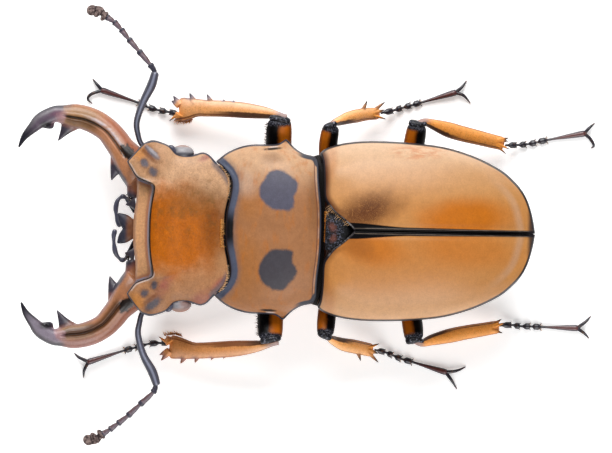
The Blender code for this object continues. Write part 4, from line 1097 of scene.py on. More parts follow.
TOOTH_REACH, FURROW_DEPTH = (1.6, 1.9, 1.8), 0.3
TOOTH_SIZES = [(0.95, 0.75, 0.06), (1.75, 0.7, 0.06), (1.55, 0.7, 0.06), (0.95, 0.5, 0.86), (1.3, 1.0, 0.6)]


def jaw_point(side, x, y, z):
    if side < 0:
        return Vector((-x, y, z))
    beyond = max(0.0, SHORTER_FROM - y) / SHORTER_RUN
    return Vector((x + value_at(LEFT_JAW_SHIFT, y), y + LEFT_JAW_SHORTER * beyond, z))


def melt(bm, size, smooth=True):
    """Fuses the overlapping closed bodies of a bmesh into one even skin."""
    mesh = bpy.data.meshes.new("melt")
    bm.to_mesh(mesh)
    bm.free()
    lump = bpy.data.objects.new("melt", mesh)
    bpy.context.scene.collection.objects.link(lump)
    remesh = lump.modifiers.new("remesh", "REMESH")
    remesh.mode, remesh.voxel_size = "VOXEL", size
    fused = bmesh.new()
    fused.from_object(lump, bpy.context.evaluated_depsgraph_get())
    bpy.data.objects.remove(lump)
    bpy.data.meshes.remove(mesh)
    if smooth:
        axes = dict.fromkeys(("use_axis_x", "use_axis_y", "use_axis_z"), True)
        bmesh.ops.smooth_vert(fused, verts=fused.verts, factor=0.5, **axes)
    return fused


def measure_on(bm, line, widths, side):
    """Stores the share along a line and across it, 1 at the outer and -1 at the inner edge."""
    places = [along(line, k / 200) for k in range(201)]
    finder = KDTree(len(places))
    for index, place in enumerate(places):
        finder.insert((place.x, place.y, 0), index)
    finder.balance()
    layers = [layer_of(bm, name) for name in ("along", "outer")]
    for vert in bm.verts:
        _, best, _ = finder.find((vert.co.x, vert.co.y, 0))
        ahead = (places[min(best + 1, 200)] - places[max(best - 1, 0)]).normalized()
        across = UP.cross(ahead).normalized()
        across = across if across.x * side > 0 else -across
        vert[layers[0]] = best / 200
        vert[layers[1]] = across.dot(vert.co - places[best]) / along(widths, best / 200)


# %% Build the jaws


def jaw_section(out, rise, share):
    """A section with a flatter upper and lower face than a circle has."""
    grow = 1 / max(abs(out) ** 2.5 + abs(rise) ** 2.5, 1e-6) ** (1 / 2.5) if abs(out) + abs(rise) > 0.5 else 1
    return out * grow, rise * grow


def skin_of_jaws():
    skin = Finish("polished jaw", Roughness=0.36, Specular_IOR_Level=0.4, Coat_Weight=0.12,
                  Coat_Roughness=0.2)
    cloud, streaks = skin.noise(1.4, 4), skin.noise(0.5, 4, (1, 3, 1))
    side, run = skin.carried("outer"), skin.carried("along")
    skin.colour = skin.mix(cloud, (186, 124, 84), (204, 144, 112))
    skin.tint((176, 134, 92), (run, 0.34, 0.44), (side, 0.95, 0.5), 0.8)
    skin.tint((176, 100, 74), (side, 0.25, 0.6), (run, 0.4, 0.3), 0.7)
    skin.tint((192, 128, 84), (side, 0.4, -0.2), (run, 0.26, 0.12), 0.5)
    # Painted shade: brown on the inner wall of the furrow, and a darker line in its bottom.
    brown = skin.times((side, 0.04, -0.1), (side, -0.95, -0.4), "furrow", (run, 0.3, 0.42))
    skin.tint((98, 60, 22), brown, 0.9)
    skin.tint((52, 34, 18), (side, -0.02, -0.1), (side, -0.3, -0.16), "furrow", 0.85)
    left = ("X", 0, 1)
    skin.tint((104, 60, 38), left, (run, 0.66, 0.56), (side, -0.9, -0.4), 0.3)
    # Painted shade: the furrow of the left jaw broad and dark brown.
    skin.tint((84, 50, 24), left, (side, 0.2, 0.02), (side, -0.7, -0.4), "furrow", 0.8)
    skin.tint((176, 122, 124), left, (side, 0.1, 0.5), (run, 0.3, 0.44), 0.55)
    # Painted highlight: a pale band along the outer side of the furrow on the right jaw.
    light = skin.times(("X", 8, -1), (side, -0.04, 0.03), (side, 0.42, 0.12), "furrow", (run, 0.5, 0.36))
    skin.tint((206, 200, 208), light, (streaks, 0.3, 0.6), 0.75)
    skin.tint((126, 86, 92), (side, -0.7, -0.98), 0.75)
    skin.tint((140, 96, 98), (side, 0.86, 1.0), 0.5)
    # Painted shade: the pit at the root of each furrow near black.
    pit = skin.most(((-7.95, -19.4), (1.0, 0.6), 0.75, 0.25, 1.2, 0.35),
                    ((8.35, -19.35), (1.0, 0.6), -0.75, 0.25, 1.2, 0.35))
    skin.tint((16, 14, 16), pit, 0.97)
    uneven = skin.uneven(0.9, 0.12)
    slant = skin.sum(run, skin.times(side, 0.05), uneven)
    dark = skin.mix(streaks, (72, 64, 78), (132, 114, 130))
    dark = skin.over(dark, (126, 120, 126), (side, 0.0, 0.6), 0.8)
    dark = skin.over(dark, (44, 42, 54), (side, 0.66, 0.92), 0.95)
    dark = skin.over(dark, (34, 33, 44), (run, 0.78, 0.92))
    purple = skin.times((slant, 0.76, 0.66), (side, -0.5, 0.1), (side, 0.7, 0.3))
    dark = skin.over(dark, (126, 84, 104), purple, 0.7)
    bright = skin.times(("X", 0, 1), (run, 0.97, 0.84), (side, -0.9, -0.3), (side, 0.75, 0.3))
    skin.tint(skin.over(dark, (168, 158, 172), bright, 0.6), (slant, 0.58, 0.68))
    hollow = skin.most(((-10.55, -28.05), (0.5, 0.8), -0.25, 0.5, 0.3, 0.4),
                       ((10.55, -27.7), (0.5, 0.8), 0.25, 0.5, 0.3, 0.4))
    skin.tint((18, 17, 24), hollow, 0.95)
    skin.tint((196, 150, 164), (slant, 0.56, 0.6), (slant, 0.68, 0.64), (side, 0.6, -0.2), 0.5)
    teeth = (skin.sum("tooth", skin.times(uneven, 3)), 1.15, 0.8)
    skin.tint(skin.mix(streaks, (22, 22, 32), (84, 82, 98)), teeth, 0.95)
    skin.colour = skin.mottle(skin.mottle(skin.colour, 0.5, 0.7), 0.17, 0.6)
    skin.set(Base_Color=skin.colour, Roughness=skin.sum(0.3, skin.times(cloud, 0.14)))
    return skin.bump(skin.sum(streaks, skin.times(skin.noise(0.12, 2), 0.5)), 0.02)


JAW_SKIN = skin_of_jaws()
for side, side_name in SIDES:
    line = [jaw_point(side, *station[:3]) for station in JAW]
    widths, heights = [station[3] for station in JAW], [station[4] for station in JAW]
    parts = [sweep(line, widths, heights, 60, 32, (0.3, 0.05), shape=jaw_section)]
    for tooth, (half, high, end) in zip(JAW_TEETH, TOOTH_SIZES):
        points = [jaw_point(side, *point) for point in tooth]
        halves = [half, half * 0.38 + end * 0.5, end]
        parts.append(sweep(points, halves, [high, high * 0.55, end], 14, 16, (0.1, 0.03 + end * 0.5)))
    jaw = melt(gather(parts), 0.075)
    measure_on(jaw, line, widths, side)
    tips = [jaw_point(side, *tooth[-1]) for tooth in JAW_TEETH[:3]]
    share, out, furrow, tooth_gap = (layer_of(jaw, name) for name in ("along", "outer", "furrow", "tooth"))
    for vert in jaw.verts:
        vert[furrow] = smooth_step(vert[share], 0.1, 0.16) * (1 - smooth_step(vert[share], 0.57, 0.64))
        if vert.co.z > along(line, vert[share]).z:
            relief = 0.05 * hump(vert[out], 0.1, 0.18) - FURROW_DEPTH * hump(vert[out], -0.14, 0.2)
            vert.co.z += vert[furrow] * relief
        vert[tooth_gap] = min((vert.co - tip).length / reach for tip, reach in zip(tips, TOOTH_REACH))
    finish_piece(f"jaw_{side_name}", jaw, JAW_SKIN, "jaw_shell", f"mandible_{side_name}")
print("jaws:", len(JAW_TEETH), "teeth each, furrow", FURROW_DEPTH, "mm deep")

# %% [markdown]
# ## Mouth parts
#
# A forked dark lip stands between the jaws, and a curved, jointed palp beside each prong.

# %% Lip and palps


def skin_of_lip():
    skin = Finish("dark lip", Roughness=0.45, Specular_IOR_Level=0.3)
    tip = skin.mix(skin.noise(0.3, 4), (30, 28, 38), (72, 72, 88))
    root = skin.mix(skin.noise(0.4, 3), (96, 56, 36), (140, 90, 60))
    skin.set(Base_Color=skin.mix(("Y", -19.7, -19.1), tip, root))
    return skin.bump(skin.noise(0.15, 3), 0.02)


prongs = []
for side, _ in SIDES:
    line = [(0.34 - side * 0.1, -18.72, 6.9), (0.22 + side * 0.55, -19.3, 6.9),
            (0.2 + side * 1.1, -19.85, 6.85), (0.17 + side * 1.58, -20.38, 6.8)]
    prongs.append(sweep(line, [0.85, 0.78, 0.58, 0.1], [0.42, 0.4, 0.3, 0.09], 16, 14, (0.1, 0.03)))
lip = melt(gather(prongs), 0.05)
finish_piece("lip", lip, skin_of_lip(), "mouth_parts", "labrum")

PALPS = {
    "right": [(-1.5, -18.62, 5.5), (-2.3, -19.0, 5.3), (-3.0, -19.5, 5.1), (-3.2, -19.95, 5.1),
              (-2.75, -20.45, 5.1), (-1.85, -20.63, 5.1), (-0.78, -20.46, 5.05), (0.05, -20.15, 5.0)],
    "left": [(1.5, -18.63, 5.5), (2.5, -19.0, 5.3), (3.3, -19.4, 5.15), (3.55, -19.9, 5.2),
             (3.04, -20.44, 5.35), (2.33, -20.68, 5.5), (1.09, -20.79, 5.7), (0.3, -20.65, 5.8)],
}


def beads(line, ends, thin, thick, sides=14, domes=(0.12, 0.12)):
    """A row of joints, each slender at its root and thick towards its end."""
    widths = []
    for k in range(41):
        share = k / 40
        index = max(k for k, end in enumerate(ends[:-1]) if end <= share)
        inside = (share - ends[index]) / (ends[index + 1] - ends[index])
        widths.append(thin + (thick - thin) * math.sin(math.pi * min(1, max(0, inside) ** 1.6)) ** 0.7)
    return sweep(line, widths, widths, 82, sides, domes)


for side_name, line in PALPS.items():
    palp = beads(line, [0, 0.3, 0.48, 0.78, 1], 0.17, 0.28)
    finish_piece(f"palp_joints_{side_name}", palp, SLATE_SHELL, "mouth_parts", f"palp_{side_name}")

# %% [markdown]
# ## Feelers
#
# The first joint of each feeler, the scape, is long, stout and slate blue. It sweeps sideways in an
# arch. Six small joints follow, and then a club of three leaves that open towards the front.

# %% Feelers
SCAPES = {
    "right": [(-8.45, -16.72, 7.0), (-8.75, -17.9, 7.0), (-9.95, -18.4, 7.2), (-11.3, -18.52, 7.4),
              (-13.3, -17.9, 7.7), (-15.1, -17.05, 7.9), (-16.6, -16.62, 8.0)],
    "left": [(8.6, -16.63, 7.0), (9.15, -17.55, 7.0), (10.2, -17.85, 7.2), (11.5, -17.98, 7.4),
             (13.6, -17.4, 7.7), (15.4, -16.4, 7.9), (16.9, -15.85, 8.0)],
}
SCAPE_HALF = [0.24, 0.27, 0.3, 0.34, 0.4, 0.5, 0.42]
WHIPS = {
    "right": [(-16.5, -16.6, 8.0), (-17.39, -17.25, 7.9), (-18.82, -18.49, 7.5), (-20.06, -19.58, 7.1),
              (-21.07, -20.41, 6.8), (-21.85, -21.17, 6.55), (-22.35, -21.95, 6.3)],
    "left": [(16.75, -15.95, 8.0), (17.65, -16.3, 7.9), (19.0, -17.7, 7.5), (20.2, -18.95, 7.1),
             (21.05, -20.0, 6.8), (21.7, -20.85, 6.55), (22.2, -21.6, 6.3)],
}
CLUBS = {
    "right": [(-22.42, -22.2, 6.25), (-22.86, -22.83, 6.1), (-23.05, -23.55, 5.95)],
    "left": [(22.2, -21.75, 6.25), (22.6, -22.4, 6.1), (22.85, -23.1, 5.95)],
}
LEAF_SIZES = [(0.3, 0.6, 0.42), (0.34, 0.68, 0.46), (0.56, 0.6, 0.46)]


def skin_of_scapes():
    skin = Finish("slate feeler", Roughness=0.34, Coat_Weight=0.25, Coat_Roughness=0.2)
    skin.colour = skin.mix(skin.noise(0.6, 4), (70, 70, 84), (94, 94, 108))
    # Painted highlight: a pale blue streak along the middle of the scape. Painted shade: darker along both
    # edges.
    skin.tint((168, 172, 196), ("side", -0.45, -0.05), ("side", 0.4, 0.1), 0.6)
    skin.tint((44, 40, 58), (skin.off("side"), 0.6, 0.92), 0.75)
    return skin.done(0.18, 0.7, skin.noise(0.1, 3), 0.01)


def skin_of_whips():
    skin = Finish("banded feeler", Roughness=0.4, Coat_Weight=0.15, Coat_Roughness=0.2)
    skin.colour = skin.mix(skin.noise(0.3, 4), (88, 68, 76), (142, 126, 138))
    skin.tint((112, 62, 52), ("side", -0.1, -0.7), 0.8)
    skin.tint((40, 38, 56), (skin.off("side"), 0.5, 0.88), 0.8)
    skin.tint((46, 48, 66), skin.most(("collar", 0.45, 0.85), ("along", 0.17, 0.15)), 0.9)
    return skin.done(0.15, 0.8, skin.noise(0.1, 3), 0.02)


def skin_of_clubs():
    skin = Finish("velvet club", Roughness=0.8, Specular_IOR_Level=0.3)
    skin.colour = skin.mix((skin.noise(0.3, 4), 0.35, 0.65), (62, 48, 50), (158, 136, 130))
    skin.tint((52, 40, 44), ("fold", 0.14, 0.04), 0.85)
    return skin.done(0.15, 1.2, skin.noise(0.08, 3), 0.05)


SCAPE_SKIN, WHIP_SKIN, CLUB_SKIN = skin_of_scapes(), skin_of_whips(), skin_of_clubs()
for side, side_name in SIDES:
    scape = sweep(SCAPES[side_name], SCAPE_HALF, SCAPE_HALF, 60, 18, (0.15, 0.3))
    finish_piece(f"scape_joint_{side_name}", scape, SCAPE_SKIN, "feeler_shell", f"scape_{side_name}")
    line = WHIPS[side_name]
    places = 20 * (len(line) - 1)
    widths, collars = [], []
    for k in range(places + 1):
        inside = (k % 20) / 20 if k < places else 1
        collars.append(smooth_step(inside, 0.62, 0.85) * (1 - smooth_step(inside, 0.94, 1)))
        widths.append(0.21 + 0.09 * smooth_step(inside, 0, 0.5) + 0.06 * collars[-1])
    whip = sweep(line, widths, widths, places + 1, 14, (0.12, 0.1))
    collar, share = layer_of(whip, "collar"), layer_of(whip, "along")
    for vert in whip.verts:
        vert[collar] = along(collars, vert[share])
    finish_piece(f"whip_joints_{side_name}", whip, WHIP_SKIN, "feeler_shell", f"antenna_{side_name}")
    leaves, middles = [], [Vector(middle) for middle in CLUBS[side_name]]
    heading = middles[2] - middles[0]
    turn = Matrix.Rotation(math.atan2(heading.y, heading.x) + side * 0.25, 3, "Z")
    for middle, size in zip(middles, LEAF_SIZES):
        leaf = bmesh.new()
        bmesh.ops.create_uvsphere(leaf, u_segments=28, v_segments=18, radius=1)
        bmesh.ops.scale(leaf, vec=size, verts=leaf.verts)
        bmesh.ops.rotate(leaf, matrix=turn, verts=leaf.verts)
        bmesh.ops.translate(leaf, vec=middle, verts=leaf.verts)
        leaves.append(leaf)
    back = Vector((side * 0.2, 0.16, 0))
    ends = [middles[0], middles[1] + back, middles[2] + back * 0.6]
    leaves.append(sweep(ends, [0.28, 0.4, 0.4], [0.28, 0.36, 0.36], 20, 18, (0.2, 0.3)))
    club = melt(gather(leaves), 0.05, smooth=False)
    first, second, third = middles
    carry(club, "fold", lambda at: abs((at - second).length - min((at - first).length, (at - third).length)))
    finish_piece(f"club_{side_name}", club, CLUB_SKIN, "feeler_shell")

# %% [markdown]
# ## Legs
#
# No leg is a mirror image of its partner, because a beetle never lies quite straight. So each leg has
# its own measured points on the plan: the shin with its half widths, the tips of its spines, the ends
# of the four small joints of the foot, and the claws. Heights fall from the knee to the floor.

# %% Sizes of the legs
LEGS = {
    "front_right": {
        "thigh": [(-4.75, -3.4, 2.75), (-8.8, -3.35, 5.3), (-11.75, -3.3, 6.75)],
        "knee": (-11.9, -2.55),
        "shin": [(-12.08, -3.1, 0.36), (-12.27, -3.9, 0.48), (-12.45, -5.0, 0.66), (-12.65, -7.0, 0.84),
                 (-12.78, -9.0, 0.88), (-12.82, -11.0, 0.9), (-12.85, -12.2, 0.98), (-12.7, -13.3, 1.25),
                 (-12.6, -13.9, 1.3)],
        "thorns": [(-13.75, -8.3, 0.14), (-13.85, -9.4, 0.16), (-14.37, -11.15, 0.34),
                   (-14.45, -13.0, 0.38), (-14.12, -14.75, 0.38), (-13.6, -14.95, 0.3),
                   (-11.35, -15.15, 0.2), (-11.35, -14.35, 0.6)],
        "foot": [(-12.15, -13.9), (-12.35, -15.1), (-12.53, -16.2), (-12.82, -17.35), (-13.33, -18.55)],
        "toe": (-14.6, -22.5),
        "claws": [[(-15.2, -22.95), (-15.75, -23.4)], [(-14.15, -23.5), (-13.6, -23.9), (-13.1, -23.4)]],
    },
    "front_left": {
        "thigh": [(4.75, -3.9, 2.75), (8.8, -3.9, 5.3), (11.75, -3.87, 6.75)],
        "knee": (11.95, -3.0),
        "shin": [(12.13, -3.6, 0.36), (12.32, -4.4, 0.48), (12.55, -5.5, 0.66), (12.8, -7.5, 0.86),
                 (12.98, -9.5, 0.88), (13.1, -11.3, 0.87), (13.1, -12.3, 0.94), (12.85, -13.8, 1.22),
                 (12.75, -14.5, 1.28)],
        "thorns": [(14.0, -8.9, 0.15), (14.15, -10.2, 0.22), (14.45, -11.9, 0.34), (14.57, -13.45, 0.38),
                   (14.28, -15.55, 0.38), (13.7, -15.75, 0.3), (11.65, -15.9, 0.2), (11.6, -15.0, 0.6)],
        "foot": [(12.35, -14.5), (12.38, -15.5), (12.5, -16.8), (12.95, -18.35), (13.27, -19.5)],
        "toe": (14.6, -23.45),
        "claws": [[(14.1, -24.3), (13.65, -24.85)], [(15.45, -23.75), (16.25, -23.8)]],
    },
    "middle_right": {
        "thigh": [(-4.65, 2.8, 2.75), (-8.4, 1.95, 5.3), (-11.15, 2.2, 6.8)],
        "shin": [(-11.5, 2.55, 0.36), (-11.7, 3.1, 0.5), (-12.05, 4.0, 0.66), (-12.3, 5.0, 0.72),
                 (-12.5, 6.0, 0.68), (-12.6, 7.3, 0.64)],
        "thorns": [(-13.98, 6.05, 0.25), (-13.9, 8.0, 0.25), (-13.0, 7.95, 0.28), (-12.0, 8.1, 0.2)],
        "foot": [(-12.65, 7.5), (-12.95, 8.8), (-13.25, 9.75), (-13.55, 10.75), (-13.87, 11.8)],
        "toe": (-15.05, 15.6),
        "claws": [[(-15.6, 16.15), (-16.3, 16.65)], [(-14.7, 16.35), (-13.9, 17.1)]],
    },
    "middle_left": {
        "thigh": [(4.65, 2.9, 2.75), (8.4, 2.2, 5.3), (11.2, 1.98, 6.8)],
        "shin": [(11.5, 2.45, 0.36), (11.75, 2.9, 0.5), (12.15, 3.9, 0.7), (12.35, 5.0, 0.76),
                 (12.55, 6.0, 0.75), (12.75, 7.0, 0.74)],
        "thorns": [(13.95, 5.85, 0.25), (14.1, 7.8, 0.25), (13.1, 7.75, 0.28), (12.0, 7.85, 0.2)],
        "foot": [(12.7, 7.3), (12.93, 8.4), (13.25, 9.25), (13.63, 10.2), (13.95, 11.4)],
        "toe": (15.0, 15.1),
        "claws": [[(14.8, 16.1), (14.35, 17.1)], [(15.8, 15.6), (16.75, 16.2)]],
    },
    "hind_right": {
        "thigh": [(-5.7, 10.4, 2.85), (-8.8, 11.0, 5.3), (-11.45, 11.42, 6.8)],
        "shin": [(-11.75, 12.2, 0.4), (-11.45, 13.3, 0.6), (-11.0, 14.7, 0.83), (-10.6, 16.2, 0.84),
                 (-10.2, 18.0, 0.8), (-9.9, 19.3, 0.77), (-9.6, 20.7, 0.73)],
        "thorns": [(-10.25, 21.3, 0.25), (-9.9, 21.25, 0.25), (-8.5, 21.0, 0.2), (-9.0, 21.4, 0.2)],
        "foot": [(-9.45, 20.9), (-9.5, 22.1), (-9.6, 23.15), (-9.8, 24.2), (-10.1, 25.4)],
        "toe": (-10.9, 29.5),
        "claws": [[(-11.5, 29.9), (-12.0, 30.45)], [(-10.3, 30.0), (-9.6, 30.4), (-9.3, 30.1)]],
    },
    "hind_left": {
        "thigh": [(5.7, 10.4, 2.85), (8.8, 11.1, 5.3), (11.5, 11.5, 6.8)],
        "shin": [(11.85, 12.3, 0.4), (11.5, 13.4, 0.6), (11.05, 15.2, 0.78), (10.65, 17.0, 0.78),
                 (10.3, 18.9, 0.74), (10.0, 20.5, 0.71)],
        "thorns": [(10.65, 21.0, 0.25), (9.1, 20.9, 0.25), (9.5, 21.3, 0.2)],
        "foot": [(9.85, 20.6), (9.78, 21.9), (9.9, 22.85), (9.9, 23.95), (9.93, 25.1)],
        "toe": (10.0, 29.1),
        "claws": [[(9.3, 29.85), (8.7, 30.4)], [(10.5, 29.7), (11.05, 30.25)]],
    },
}
STOUT_THORN = 0.6
THIGH_HALF = {"front": (1.38, 0.75), "middle": (1.0, 0.68), "hind": (1.12, 0.7)}
KNEE_Z, ANKLE_Z = 6.72, 1.75


def falling(points, heights):
    """Points of the plan lifted to heights that change smoothly along the row."""
    return [(x, y, along(heights, k / (len(points) - 1))) for k, (x, y, *_) in enumerate(points)]


# %% [markdown]
# The thighs are half black and half brown, split along their length: on the front legs the side
# towards the head is black, on the others the side towards the tail. The value "fore" on the mesh is
# 1 on the side towards the head and -1 on the other. The knee end turns grey.

# %% Thighs and their sockets


def skin_of_thighs(name, black_side):
    skin = Finish(name, Roughness=0.4, Specular_IOR_Level=0.12, Coat_Weight=0.05, Coat_Roughness=0.2)
    cloud, fine = skin.noise(1.2, 4), skin.noise(0.12, 3)
    uneven = skin.uneven(0.8, 0.35)
    brown = skin.mottle(skin.mix(cloud, (252, 138, 30), (206, 106, 28)), 0.3, 0.5)
    black = (skin.sum(skin.times("fore", black_side), uneven), -0.3, 0.22)
    edge = (skin.times("fore", -black_side), 0.62, 0.95)
    brown = skin.over(brown, (64, 36, 22), edge, 0.6)
    skin.colour = skin.mix(black, brown, (14, 12, 14))
    knee = (skin.sum("along", skin.times(uneven, 0.15)), 0.88, 0.95)
    skin.tint(skin.mix((fine, 0.45, 0.7), (26, 26, 34), (120, 120, 132)), knee)
    skin.set(Base_Color=skin.colour)
    return skin.bump(skin.sum(fine, cloud), 0.02)


def skin_of_knees():
    skin = Finish("rough slate knee", Roughness=0.4, Specular_IOR_Level=0.3)
    skin.colour = skin.mix((skin.noise(0.22, 4), 0.52, 0.7), (24, 24, 32), (138, 140, 156))
    return skin.done(0.1, 0.8, skin.noise(0.15, 3), 0.03)


THIGH_SKIN = {1: skin_of_thighs("thigh, black in front", 1), -1: skin_of_thighs("thigh, black behind", -1)}
KNEE_SKIN = skin_of_knees()
for leg, sizes in LEGS.items():
    pair, side = leg.split("_")[0], 1 if leg.endswith("left") else -1
    half, high = THIGH_HALF[pair]
    widths = [half * share for share in (0.5, 0.85, 1.0, 1.0, 0.98, 0.88)]
    heights = [high * share for share in (0.75, 0.95, 1.0, 1.0, 0.95, 0.8)]
    thigh = sweep(sizes["thigh"], widths, heights, 26, 26, (0.3, 0.5), across=(0, 1, 0))
    fore, across = layer_of(thigh, "fore"), layer_of(thigh, "side")
    for vert in thigh.verts:
        vert[fore] = -vert[across]
    skin = THIGH_SKIN[1 if pair == "front" else -1]
    finish_piece(f"thigh_{leg}", thigh, skin, "femur_shell", f"femur_{leg}", levels=1)
    end, first = Vector(sizes["thigh"][-1][:2]), Vector(sizes["shin"][0][:2])
    ahead = (Vector(sizes["shin"][2][:2]) - first).normalized()
    beyond = end + ahead * half * 0.8 if pair == "front" else first + ahead * 0.25
    knee = [(*(end - ahead * half * 0.85), KNEE_Z - 0.1), (*end, KNEE_Z), (*beyond, KNEE_Z - 0.05)]
    knee = sweep(knee, [0.34, 0.46, 0.4, 0.3], [0.45, 0.55, 0.5, 0.4], 14, 20, (0.3, 0.25), across=(1, 0, 0))
    finish_piece(f"knee_{leg}", knee, KNEE_SKIN, "femur_shell", levels=1)
    low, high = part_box(f"coxa_{leg}")
    ball = bmesh.new()
    bmesh.ops.create_uvsphere(ball, u_segments=32, v_segments=20, radius=0.5)
    bmesh.ops.scale(ball, vec=[(b - a) / MM for a, b in zip(low, high)], verts=ball.verts)
    bmesh.ops.translate(ball, vec=[(a + b) / 2 / MM for a, b in zip(low, high)], verts=ball.verts)
    finish_piece(f"hip_{leg}", ball, UNDER, "coxa_shell", f"coxa_{leg}")

# %% [markdown]
# The shins are bright orange and finely pitted, flattened, and wider towards the foot. On the front
# legs they end in a fork and carry a row of spines on the outer edge. Near the knee a dark streak
# runs along the inner side.

# %% Shins


def skin_of_shins(name, streak_end, narrow, pale, shades, spines):
    skin = Finish(name, Roughness=0.42, Specular_IOR_Level=0.35)
    cloud, pits = skin.noise(0.9, 4), skin.noise(0.13, 3)
    skin.colour = skin.mix(cloud, *shades[:2])
    skin.tint(shades[2], (pits, 0.52, 0.7))
    outer, run = skin.carried("outer"), skin.carried("along")
    skin.tint(shades[3], (outer, -0.1, 0.75), pale)
    skin.tint((226, 128, 54), (skin.noise(0.22, 3, (1, 5, 1)), 0.5, 0.68), 0.15)
    skin.tint((262, 164, 62), ("along", 0.86, 1.0), 0.45)
    uneven = skin.uneven(0.5, 0.5)
    lean = skin.sum(outer, skin.times(uneven, 0.6), skin.times(run, 0.45 / streak_end), narrow)
    streak = skin.times((lean, 0.26, 0.1), (run, streak_end, streak_end - 0.2))
    dark = skin.mix(skin.noise(0.4, 4, (1, 4, 1)), (10, 7, 9), (84, 48, 36))
    skin.tint(skin.over(dark, (150, 88, 58), (outer, -0.8, -0.95)), streak, 0.92)
    skin.tint((140, 82, 50), (skin.sum(skin.off(outer), skin.times(uneven, 0.2)), 0.78, 0.95), 0.75)
    skin.tint((112, 54, 16), (outer, -0.6, -0.67), (outer, -0.82, -0.74), (run, 0.4, 0.6), 0.75)
    knee = skin.times((skin.sum(run, skin.times(uneven, 0.1)), 0.27, 0.13), (outer, -0.2, 0.1))
    skin.tint(skin.mix(pits, (120, 104, 112), (206, 182, 182)), knee, 0.85)
    skin.tint(spines[0], ("spine", 2.6, 1.4), 0.8)
    skin.tint(spines[1], ("spine", 1.7, 0.7), 0.85)
    skin.tint((214, 120, 40), ("Y", -5.0, -7.0), ("X", 0, 1), 0.4)
    skin.set(Base_Color=skin.mottle(skin.mottle(skin.colour, 0.4, 0.4), 0.17, 0.55))
    return skin.bump(skin.sum(pits, skin.times(cloud, 0.6)), 0.03)


DARK_SPINES = [(84, 66, 60), (26, 25, 34)]
SHIN_SKIN = {
    "front": skin_of_shins("orange shin, front", 0.7, 0.14, 0.8,
                           [(272, 196, 132), (262, 182, 108), (236, 156, 88), (284, 230, 190)],
                           [(150, 142, 156), (70, 68, 84)]),
    "middle": skin_of_shins("orange shin, middle", 0.7, 0.15, 0.5,
                            [(291, 206, 122), (288, 192, 96), (262, 160, 70), (291, 232, 176)], DARK_SPINES),
    "hind": skin_of_shins("orange shin, hind", 0.62, 0.3, 0.25,
                          [(291, 194, 98), (288, 178, 76), (258, 148, 54), (291, 222, 150)], DARK_SPINES),
}
for leg, sizes in LEGS.items():
    pair, side = leg.split("_")[0], 1 if leg.endswith("left") else -1
    line = falling(sizes["shin"], [KNEE_Z - 0.1, ANKLE_Z])
    line = [(*sizes.get("knee", sizes["thigh"][-1][:2]), KNEE_Z), *line]
    halves = [0.4, *(half for _, _, half in sizes["shin"])]
    heights = [0.36, 0.42, 0.5, 0.54, 0.5, 0.45, 0.36]
    parts = [sweep(line, halves, heights, 60, 26, (0.25, 0.25), across=(1, 0, 0))]
    for x, y, radius in sizes["thorns"]:
        near = min(range(41), key=lambda k: (along(line, k / 40).xy - Vector((x, y))).length_squared)
        centre = along(line, max(0, near - (2 if pair == "front" else 5)) / 40)
        way = (Vector((x, y)) - centre.xy).normalized()
        root = centre + Vector((way.x, way.y, 0)) * along(halves, near / 40) * 0.45
        parts.append(thorn(root, (x, y, centre.z - 0.15), radius, 10))
    shin = melt(gather(parts), 0.06)
    measure_on(shin, line, halves, side)
    tips = [(Vector((x, y)), radius) for x, y, radius in sizes["thorns"] if radius < STOUT_THORN]
    carry(shin, "spine", lambda at: min((at.xy - tip).length / radius for tip, radius in tips))
    finish_piece(f"shin_{leg}", shin, SHIN_SKIN[pair], "tibia_shell", f"tibia_{leg}")

# %% [markdown]
# Each foot has four short joints, thick at their far end like beads, then a long slender one with two
# hooked claws. The joints carry short spines below. The foot is flat where it lies on the floor.

# %% Feet


def skin_of_feet():
    skin = Finish("black foot", Roughness=0.32, Coat_Weight=0.3, Coat_Roughness=0.2)
    toe = skin.mix(skin.noise(0.3, 3), (132, 66, 54), (92, 60, 66))
    toe = skin.mix((skin.off("side"), 0.4, 0.8), toe, (50, 46, 62))
    skin.colour = skin.mix(skin.noise(0.3, 4), (20, 18, 24), (58, 54, 68))
    skin.tint((118, 80, 52), (skin.noise(0.4, 3), 0.56, 0.7), 0.6)
    skin.tint(toe, ("along", 0.8, 0.9), 0.8)
    return skin.done(0.15, 0.8, skin.noise(0.1, 3), 0.02)


